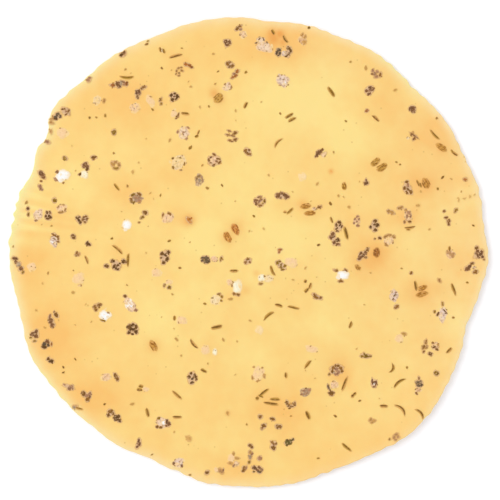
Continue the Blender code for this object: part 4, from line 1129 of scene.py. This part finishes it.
    ("mauve", 1, (4.2, 19.4, 1.3, 0.9, 30), (3.8, 18.6, 0.9, 0.7, 0), (5, 19.8, 0.9, 0.6, 60)),
    ("plum", 1, (14.1, 20.5, 1.4, 0.9, 0), (10.8, 20.8, 1.3, 0.9, -20)),
    ("plum", 0.9, (26.2, 37.9, 1.7, 0.8, 50), (27.2, 37.7, 1.6, 0.8, 60)),
    ("olive", 0.8, (-82, -5.4, 0.7, 0.5, 0)),
    ("plum", 1, (87.9, 0.1, 1.3, 1, -40), (86.6, -1.9, 1.3, 0.9, -30), (85.7, -0.5, 1.1, 0.8, 40)),
    ("black", 0.9, (-44.6, -29, 1.8, 0.9, 75), (-43, -29.4, 1.3, 0.8, 20)),
)
HUSK_HEIGHT = 0.34 * MM
# How much wider a bare chip is than the part of it that shows
CHIP_GROWTH = 0.1
# The meal between the chips and close round them, and how far it reaches beyond them
BRUISED_MEAL = (194, 148, 104)
MEAL_BETWEEN = (222, 184, 146)
PINKISH_MEAL = (240, 200, 150)
MEAL_HEIGHT = 0.16 * MM
MEAL_BEYOND = 1.0
# How wide the meal between chips lies, as a multiple of how far the chips are spread
MEAL_SPREAD = 3.0
# Chip lengths in millimetres: under the first, a chip has less meal round it, and over the
# second it has two bits broken off its rim, not one
FULL_MEAL_FROM = 1.6
TWO_BITS_OVER = 1.4
# The wrinkles of the husk, and its shades on them and between them
HUSK_WRINKLES = 0.8 * MM
HUSK_DARKEST = ((90, 64, 42), 0.40, 0.54, 0.64)
HUSK_BLOOM = ((226, 186, 138), 0.45, 0.36, 0.46)


def husk_finish():
    """Wrinkled husk, darker on its wrinkles and with a pale bloom between them."""
    material, surface, start = new_finish("cracked_husk", roughness=0.62, gloss=0.3)
    place = start.place()
    wrinkles = start.noise(place, HUSK_WRINKLES, detail=3.0)
    own = mottled(start, wrinkles, HUSK_DARKEST, HUSK_BLOOM)
    half_buried(start, place, own, STEEPED_DOUGH).into(surface, "Base Color")
    wrinkles.bump(0.10 * MM).into(surface, "Normal")
    return material


def shaded(colour, rng, spread=0.22):
    """The same colour, a little lighter or darker."""
    red, green, blue, full = colour
    lighter = rng.uniform(1.0 - spread, 1.0 + spread)
    return (red * lighter, green * lighter, blue * lighter, full)


def husk_chip(chip, tone, bare):
    """One ragged chip of husk, the meal pressed out under it, and bits broken off its rim."""
    x, y, length, width, turn = chip
    rng = husks.rng
    colour = by_eye(HUSK_TONES[tone])
    beyond = MEAL_BEYOND * min(1.0, length / FULL_MEAL_FROM)
    husks.lump(x, y, length + beyond, width + beyond, turn, MEAL_HEIGHT * rng.uniform(0.8, 1.0),
               by_eye(BRUISED_MEAL), by_eye(PINKISH_MEAL), sides=10, ragged=0.25,
               bare=0.75 * bare)
    grown = 1.0 + CHIP_GROWTH * (2.0 * bare - 1.0)
    husks.lump(x, y, grown * length, grown * width, turn, HUSK_HEIGHT * rng.uniform(0.7, 1.0),
               shaded(colour, rng), sides=11, ragged=0.26, bumpy=0.25, bare=bare)
    for bit in range(1 + (length > TWO_BITS_OVER)):
        angle = rng.uniform(0.0, math.tau)
        far = 0.25 * (length + width)
        size = length * rng.uniform(0.3, 0.5)
        husks.lump(x + far * math.cos(angle), y + far * math.sin(angle), size, 0.7 * size,
                   rng.uniform(0, 180), HUSK_HEIGHT * rng.uniform(0.6, 1.0),
                   shaded(colour, rng), sides=7, ragged=0.3, bare=bare * rng.uniform(0.5, 1.0))


def meal_between(chips):
    """The mealy inside of one pepper, pressed out between the chips of its skin."""
    places = np.array([chip[:2] for chip in chips])
    x, y = places.mean(axis=0)
    spreads, ways = np.linalg.eigh(np.cov(places.T))
    width, length = MEAL_SPREAD * np.sqrt(np.maximum(spreads, 0.0)) + MEAL_BEYOND
    turn = math.degrees(math.atan2(ways[1, 1], ways[0, 1]))
    husks.lump(x, y, length, width, turn, MEAL_HEIGHT, by_eye(MEAL_BETWEEN),
               by_eye(PINKISH_MEAL), sides=20, ragged=0.3, bare=0.7)


husks = Handful(23)
for tone, bare, *chips in HUSKS:
    for chip in chips:
        husk_chip(chip, tone, bare)
for tone, bare, *chips in HUSKS:
    if bare == 1 and len(chips) > 2:
        meal_between(chips)
husks.into_piece("pepper_husks", husk_finish())
swell_sheet([chip[:3] for piece in HUSKS for chip in piece[2:]], 0.8)


# Cumin seeds
# Whole small seeds, tan to orange-brown, with dark ribs along them. They are rolled in
# with the rest, and their oil has stained the dough round them.

# (x, y, length, width, turn, tone), lengths in millimetres
SEEDS = (
    (-5, 8.6, 5, 2.5, -62, "orange"), (-8, 5.6, 4.8, 2.4, -60, "amber"),
    (21.6, 17.3, 4.2, 2.2, 8, "tan"), (23.2, 14.7, 4.8, 1.9, 3, "tan"),
    (48, 34, 4.6, 2.3, 42, "olive"), (50.5, 32, 4.8, 2.6, 32, "olive"),
    (72.8, 39.5, 5, 2.4, -35, "faint"), (67, 26, 4.4, 3, -60, "brown"),
    (65.8, -13.6, 3.8, 1.9, 25, "brown"), (65.5, -16, 5, 2, 15, "tan"),
    (48.5, -0.2, 3.8, 2.8, 90, "dark"), (-36, -35.4, 4.6, 2.6, -55, "tan"),
    (-11.4, 58.2, 4.3, 3.4, 45, "olive"), (36.2, 24.9, 3.2, 1.9, 95, "olive"),
    (41.3, -5.8, 2.8, 1.6, -50, "faint"),
)
# Colours of the seeds, between the ribs and on them, and how bare they lie
SEED_TONES = {
    "orange": ((222, 152, 76), (168, 98, 30), 0.9), "brown": ((212, 154, 74), (156, 104, 36), 0.8),
    "tan": ((214, 158, 78), (170, 114, 38), 0.8), "olive": ((212, 162, 76), (158, 112, 34), 0.8),
    "dark": ((180, 118, 58), (136, 84, 36), 0.8), "faint": ((218, 162, 78), (178, 126, 50), 0.7),
    "amber": ((224, 160, 82), (184, 120, 44), 0.9),
}
SEED_HEIGHT = 0.38 * MM
# The grain of the seed coat, and its shades where the grain is high and where it is low
SEED_GRAIN = 0.8 * MM
SEED_STAIN = ((128, 78, 30), 0.45, 0.52, 0.64)
SEED_BLOOM = ((240, 190, 130), 0.5, 0.34, 0.44)
# The ribs of a seed: (how far across as a share of the seed's width, then the rib's length and
# how far along its middle lies, as shares of the seed's length)
SEED_RIBS = (
    (-0.34, 0.62, 0.02), (-0.11, 0.48, -0.2), (-0.08, 0.36, 0.26), (0.14, 0.80, 0.0),
    (0.36, 0.40, -0.14), (0.34, 0.26, 0.2),
)


def seed_finish():
    """Seed coat, unevenly stained by its oil and with a little pale bloom."""
    material, surface, start = new_finish("ribbed_seed", roughness=0.6, gloss=0.3)
    place = start.place()
    grain = start.noise(place, SEED_GRAIN, detail=2.0)
    own = mottled(start, grain, SEED_STAIN, SEED_BLOOM)
    half_buried(start, place, own, STEEPED_DOUGH).into(surface, "Base Color")
    grain.bump(0.06 * MM).into(surface, "Normal")
    return material


def roll_in_seed(x, y, length, width, turn, tone):
    """One seed, and the ribs along it."""
    rng = seeds.rng
    husk, rib, bare = SEED_TONES[tone]
    seeds.lump(x, y, length, width, turn, 0.8 * SEED_HEIGHT, by_eye(husk), sides=22,
               ragged=0.14, point=1.1, bumpy=0.05, bare=bare)
    for across, rib_length, along in SEED_RIBS:
        far = (along + rng.uniform(-0.05, 0.05)) * length
        wide = (across + rng.uniform(-0.06, 0.06)) * width
        seeds.lump(*beside(x, y, far, wide, turn), rib_length * length, rng.uniform(0.28, 0.5),
                   turn + rng.uniform(-7, 7), SEED_HEIGHT, shaded(by_eye(rib), rng, 0.15),
                   sides=12, ragged=0.2, bumpy=0.05, bare=bare)


seeds = Handful(31)
for x, y, length, width, turn, tone in SEEDS:
    roll_in_seed(x, y, length, width, turn, tone)
seeds.into_piece("cumin_seeds", seed_finish())
swell_sheet([place[:3] for place in SEEDS], 0.6)


# Splinters of husk
# Thin slivers of bran and seed coat, dark olive to brown, some of them curled. They lie in
# the dough's skin every way, as the rolling pin left them.

# (x, y, length, width, turn, bend), lengths in millimetres and the bend a share of the length
SLIVERS = (
    (-46, 66, 5.2, 0.8, 0, 0.08), (-27.5, 74, 5, 0.8, 15, 0), (13.7, 80.3, 3.4, 0.8, -58, 0.06),
    (31.4, 60.6, 4.6, 1.1, -55, 0), (15.5, 51.5, 3.6, 0.8, 32, 0), (16.5, 50, 3.4, 0.8, 28, 0),
    (11, 41.5, 4.6, 0.65, 48, -0.14), (48, 50.5, 3.4, 0.8, -40, 0), (70.3, 44.2, 5.4, 0.6, -46, 0.05),
    (-49.5, 1, 4.8, 0.8, -42, -0.05), (-45.5, -3, 5, 0.8, 88, 0), (-61.3, -2.9, 3.2, 0.6, -70, -0.06),
    (15.6, 15.6, 3.4, 0.65, 42, 0), (13.8, 15, 1.2, 0.6, 0, 0), (9, -7, 4.2, 0.8, -66, 0.05),
    (22, -14.6, 2.2, 0.9, 50, 0), (23.2, -12.8, 2.6, 0.7, 65, 0), (21.6, -11.1, 1.2, 0.8, 60, 0),
    (17, -21.1, 4.6, 0.65, -12, 0), (7.5, -24, 5, 0.8, 38, -0.08), (-12, -28.3, 4.6, 1.1, 12, 0),
    (37, 7.2, 5, 1.1, -75, 0), (61, 9.3, 4.2, 0.6, 6, 0.04), (60.4, 8.6, 1.4, 0.5, 0, 0),
    (77.5, -14, 5, 0.8, -70, 0), (-64, -59, 3, 0.6, -15, 0), (-21, -35, 4.6, 0.8, -50, 0.12),
    (-27, -54, 4.6, 0.8, -42, 0), (-27, -62.3, 3.6, 0.8, 0, 0), (-38.1, -60.6, 3.6, 0.9, -72, 0),
    (22.5, -42.5, 3.8, 0.8, 52, 0), (5.6, -53, 5, 0.7, 38, -0.04), (4.6, -54.6, 2, 0.5, -25, 0),
    (3.3, -55.2, 1.2, 1, 0, 0), (8.5, -57.2, 5.6, 0.8, -8, 0), (10, -55.8, 4, 0.8, -3, 0),
    (22.3, -61.7, 3.8, 1, -65, 0), (36.2, -49.8, 5.6, 0.9, 68, 0), (54.5, -44, 3.8, 0.8, 72, 0.22),
    (56.5, -49, 5.6, 0.8, 38, -0.14), (58, -59, 5.6, 0.8, -48, -0.2), (65, -60.5, 4.6, 0.8, -52, -0.16),
    (37, -73.5, 4.6, 0.8, -42, 0), (-33.2, 76.4, 1.9, 0.6, 105, 0), (-32.1, 75.9, 1.9, 0.6, 105, 0),
    (9.1, 83, 2, 0.8, -60, 0), (-24, 52.5, 3.2, 0.8, -5, 0), (-1, 55.5, 2.8, 0.8, 62, 0),
    (-19.7, 43.9, 1.4, 0.8, 30, 0), (-18.9, 45.2, 2, 0.45, 65, 0), (77.8, 37, 2.4, 0.7, -35, 0),
    (76.9, 38.1, 1.4, 0.4, -55, 0), (-50, 24.5, 3.4, 0.6, -50, 0), (-5.5, -7, 3.4, 0.8, 0, 0),
    (11.5, -20, 2.8, 0.8, -15, -0.06), (64, 26, 2.8, 0.45, -65, 0), (65.1, 25.3, 2, 0.45, -75, 0),
    (38.5, -27.5, 2.8, 0.8, 70, 0), (-40.7, -50.9, 1.8, 0.9, -10, 0), (-41.2, -52.2, 2.2, 0.9, -5, 0),
    (-17, -45, 2.6, 0.8, -25, 0), (14, -46.6, 2.2, 0.75, 90, 0), (51, -58, 3.2, 0.8, 0, 0),
    (75.5, -37, 3, 0.8, 45, 0), (39.3, -54.3, 1.2, 1, 0, 0), (40, -53.5, 1.4, 0.7, 40, 0),
    (76, 1, 2.4, 0.7, 88, 0), (63.1, -12.8, 4.2, 0.8, 100, 0), (31.5, 12.2, 2.4, 0.5, -70, 0),
    (-28.1, -25, 1.8, 0.8, 90, 0),
)
SLIVER_HEIGHT = 0.26 * MM
SLIVER_TONES = ((132, 97, 30), (142, 105, 32), (154, 114, 40), (134, 95, 36))
SLIVER_EDGES = ((200, 152, 72), (220, 166, 94), (190, 148, 58))
# The dark spine, as shares of the splinter's length and width, and the pale flank beside it,
# as a share of the width with some millimetres more, and moved some millimetres aside
SPINE_LENGTH = 0.98
SPINE_WIDTH = 0.8
FLANK_WIDTH = 1.1
FLANK_BEYOND = 0.3
FLANK_ASIDE = 0.15
# The streaks of a splinter, and its shades on them and between them
SLIVER_STREAKS = 0.7 * MM
SLIVER_BLOOM = ((204, 152, 92), 0.55, 0.54, 0.64)
SLIVER_FURROW = ((84, 60, 26), 0.4, 0.36, 0.46)


def sliver_finish():
    """Bran and seed coat, with a tan bloom and dark furrows."""
    material, surface, start = new_finish("bran_splinter", roughness=0.6, gloss=0.3)
    place = start.place()
    streaks = start.noise(place, SLIVER_STREAKS, detail=2.0)
    own = mottled(start, streaks, SLIVER_BLOOM, SLIVER_FURROW)
    half_buried(start, place, own, STEEPED_DOUGH).into(surface, "Base Color")
    streaks.bump(0.05 * MM).into(surface, "Normal")
    return material


def roll_in_sliver(x, y, length, width, turn, bend):
    """One splinter: its pale flank a little to one side, and its dark spine."""
    rng = slivers.rng
    tone = by_eye(SLIVER_TONES[rng.integers(len(SLIVER_TONES))])
    edge = by_eye(SLIVER_EDGES[rng.integers(len(SLIVER_EDGES))])
    aside = rng.choice((FLANK_ASIDE, -FLANK_ASIDE))
    slivers.lump(*beside(x, y, 0.0, aside, turn), length, FLANK_WIDTH * width + FLANK_BEYOND,
                 turn, 0.6 * SLIVER_HEIGHT, edge, sides=16, ragged=0.2, bend=bend, point=0.7,
                 bare=0.7)
    slivers.lump(x, y, SPINE_LENGTH * length, SPINE_WIDTH * width, turn, SLIVER_HEIGHT, tone,
                 sides=18, ragged=0.22, bend=bend, point=0.65, bare=rng.uniform(0.85, 1.0))


slivers = Handful(41)
for x, y, length, width, turn, bend in SLIVERS:
    roll_in_sliver(x, y, length, width, turn, bend)
slivers.into_piece("husk_slivers", sliver_finish())


# Crumbs
# What is left of the grinding: crumbs of husk a millimetre across, where they show in the
# photograph, and finer dust of it scattered over the whole face.

# (x, y, length, how bare), lengths in millimetres, from plain crumbs to smudges in the skin
CRUMBS = (
    (-22, 39.5, 1.6, 1), (-10, 25.2, 1.1, 1), (31, 18.3, 1.5, 1), (-16.5, -19.6, 1.2, 1),
    (-1, 68, 1.2, 1), (2, 13.6, 1.1, 1), (-36.3, 53.9, 1.2, 1), (-54.4, -57.5, 1.2, 1),
    (22.9, 85, 1.2, 1), (-26, -6, 1.2, 1), (-30, 4.2, 1.3, 1), (84.8, 10, 1.1, 0.9),
    (-51.7, 5.1, 1.2, 0.8), (-51, 37.4, 1, 0.8), (55.9, 34, 1, 0.7), (57.3, 33.1, 0.9, 0.7),
    (73.3, 28.2, 1.6, 0.8), (71.5, 23.9, 1.2, 0.8), (-70, -43.5, 1.1, 0.8), (-70, -45.5, 1.1, 0.8),
    (-65.5, -40.5, 1.1, 0.8), (82.5, -11.5, 1.1, 0.8), (71, 50.5, 1.1, 0.7), (-38.2, 80, 1.1, 0.7),
    (-38.5, 78.5, 1.6, 0.7), (-25.2, 77, 0.8, 0.7), (-32.8, 69.5, 1.2, 0.7), (-11.5, 68.3, 1, 0.7),
    (-15, 55.1, 1.1, 0.7), (-33.3, 21.5, 1.2, 0.7), (26.5, 2.7, 1.3, 0.8), (-66.4, -15.3, 1.6, 0.4),
    (-60.1, 50.8, 1.1, 0.7), (-57.6, 50.9, 1, 0.7), (-54.2, 51.6, 1.6, 0.7), (55.4, 61.2, 1.6, 0.4),
    (12, 52.4, 1.1, 0.7), (36.8, 49.5, 1.2, 0.7), (42, -56.2, 1.2, 0.7), (32.8, -62, 1.5, 0.8),
    (59.8, -43.6, 1.1, 0.7), (26.3, -77.8, 1.2, 0.7), (-22.2, -84.5, 1.1, 0.7), (-8, -61, 1.8, 0.4),
    (-27.3, -33, 2, 0.4), (-9.6, -33.2, 1.8, 0.4), (-6.8, -17.8, 2, 0.4), (57.9, -6.2, 1.1, 0.5),
    (-25.5, -39.2, 1, 0.4), (-15.4, -42.2, 1, 0.4), (64, 17.6, 2, 0.35), (68.4, 8.6, 1.2, 0.35),
    (32.2, 37.8, 1, 0.5), (-17.5, 32.8, 1.1, 0.5), (-37.2, 22.3, 1.1, 0.35), (-44, -57.5, 2, 0.4),
    (-75.8, -8, 1.2, 0.5), (-36.5, -76.5, 1, 0.6), (-0.7, -65.2, 1, 0.6), (16, -62, 1, 0.6),
    (44.3, 69.5, 2, 0.4), (38.5, 71.8, 1.2, 0.5), (-46.5, 69, 1.1, 0.5), (-46, -12.5, 1, 0.5),
    (-28.8, -16, 1, 0.5), (-74.5, 9.9, 0.9, 0.6), (-45.8, 25, 1.2, 0.6), (-15.6, 24.2, 1.6, 0.6),
    (-29.8, 42.3, 1.6, 0.35), (-43.8, 30.3, 1.8, 0.3), (-66.2, -7, 0.8, 0.6), (-84, 18.7, 1.6, 0.5),
    (-89, 2.1, 1, 0.5), (76.5, 27.6, 1, 0.4), (80.3, 22.8, 1, 0.4), (-12.6, 63.6, 1.2, 0.4),
    (79.3, 19.6, 1.6, 0.3), (81.4, 20.2, 1.4, 0.3), (83.5, 20.9, 1.4, 0.3), (85.2, 21.6, 1.2, 0.3),
    (7.6, 29.1, 1.3, 0.35), (26, 25.8, 1.6, 0.35), (5.7, 8.8, 1.3, 0.3), (0.6, -26, 1.4, 0.35),
    (16.8, -10.5, 1.3, 0.35), (34, 21.3, 1.2, 0.4), (36, 20.8, 1, 0.35), (38, 17, 1.6, 0.35),
    (-13.3, 74.9, 1.3, 0.35), (-18.4, 54.8, 1.3, 0.35), (-4.9, 53.5, 1.3, 0.35),
    (-21.9, 62.5, 1.3, 0.35), (21.5, -6, 1.3, 0.35), (-80.3, -22, 1.3, 0.35), (-77, -28.5, 1.3, 0.35),
)
CRUMB_TONES = ((138, 102, 36), (152, 116, 44), (128, 94, 40), (160, 124, 50))
CRUMB_HEIGHT = 0.2 * MM
# The dust: how many grains, and how far they stay from the rim in millimetres
DUST_COUNT = 60
DUST_MARGIN = 4.0
DUST_TONES = ((206, 164, 84), (214, 174, 94), (196, 156, 78))

crumbs = Handful(53)
for x, y, length, bare in CRUMBS:
    tone = CRUMB_TONES[crumbs.rng.integers(len(CRUMB_TONES))]
    crumbs.lump(x, y, length, length * crumbs.rng.uniform(0.5, 0.8), crumbs.rng.uniform(0, 180),
                CRUMB_HEIGHT * (0.3 + 0.7 * bare), by_eye(tone), sides=10, ragged=0.35,
                bare=bare)
for grain in range(DUST_COUNT):
    angle = crumbs.rng.uniform(0.0, math.tau)
    radius = (SHEET_RADIUS / MM - DUST_MARGIN) * math.sqrt(crumbs.rng.uniform(0.0, 1.0))
    tone = DUST_TONES[crumbs.rng.integers(len(DUST_TONES))]
    length = crumbs.rng.uniform(0.4, 1.0)
    crumbs.lump(radius * math.cos(angle), radius * math.sin(angle), length,
                length * crumbs.rng.uniform(0.4, 0.9), crumbs.rng.uniform(0, 180),
                0.4 * CRUMB_HEIGHT, by_eye(tone), sides=9, ragged=0.3,
                bare=crumbs.rng.uniform(0.25, 0.5))
crumbs.into_piece("crumbs", sliver_finish())


# The table, the lights and the camera
# A plain white light table, a little lit from below, under one large soft light from the
# upper left in a bright room. The camera looks straight down, as the photograph does.

# The table: its side in metres, how far below the papadum it lies, and its white and its glow
TABLE_SIDE = 12.0
TABLE_BELOW = 0.02 * MM
TABLE_WHITE = (0.955, 0.95, 0.96, 1.0)
TABLE_GLOW = (1.0, 0.99, 1.0, 1.0)
TABLE_GLOW_STRENGTH = 0.07
# The bright room round it
ROOM_COLOUR = (0.97, 0.975, 1.0, 1.0)
ROOM_STRENGTH = 0.935
# The soft light: its width in metres, its power in watts, its colour and its place
WINDOW_WIDTH = 1.4
WINDOW_POWER = 13.6
WINDOW_COLOUR = (1.0, 0.985, 0.95)
WINDOW_PLACE = (-1.37, 0.67, 1.50)
# The width that the camera sees, where it looks, and its lens in millimetres
FIELD = 189.2 * MM
VIEW_X = 0.57 * MM
VIEW_Y = 0.76 * MM
LENS = 85.0
SENSOR = 36.0

table_mesh = bpy.data.meshes.new("table")
half = TABLE_SIDE / 2.0
corners = [(-half, -half, -TABLE_BELOW), (half, -half, -TABLE_BELOW),
           (half, half, -TABLE_BELOW), (-half, half, -TABLE_BELOW)]
table_mesh.from_pydata(corners, [], [(0, 1, 2, 3)])
table = in_scene("table", table_mesh)
table_finish, table_surface = new_finish("white_table", roughness=0.9, gloss=0.0)[:2]
table_surface.inputs["Base Color"].default_value = TABLE_WHITE
table_surface.inputs["Emission Color"].default_value = TABLE_GLOW
table_surface.inputs["Emission Strength"].default_value = TABLE_GLOW_STRENGTH
table_mesh.materials.append(table_finish)

world = bpy.data.worlds.new("bright_room")
world.use_nodes = True
background = world.node_tree.nodes["Background"]
background.inputs["Color"].default_value = ROOM_COLOUR
background.inputs["Strength"].default_value = ROOM_STRENGTH
bpy.context.scene.world = world

lamp_data = bpy.data.lights.new("soft_window", "AREA")
lamp_data.shape = "DISK"
lamp_data.size = WINDOW_WIDTH
lamp_data.energy = WINDOW_POWER
lamp_data.color = WINDOW_COLOUR
lamp = in_scene("soft_window", lamp_data)
lamp.location = WINDOW_PLACE
lamp.rotation_euler = (-lamp.location).to_track_quat("-Z", "Y").to_euler()

camera_data = bpy.data.cameras.new("overhead")
camera_data.lens = LENS
camera_data.sensor_width = SENSOR
camera = in_scene("overhead", camera_data)
camera.location = (VIEW_X, VIEW_Y, SHEET_THICKNESS + FIELD * LENS / SENSOR)
bpy.context.scene.camera = camera
bpy.context.scene.view_settings.view_transform = "Standard"
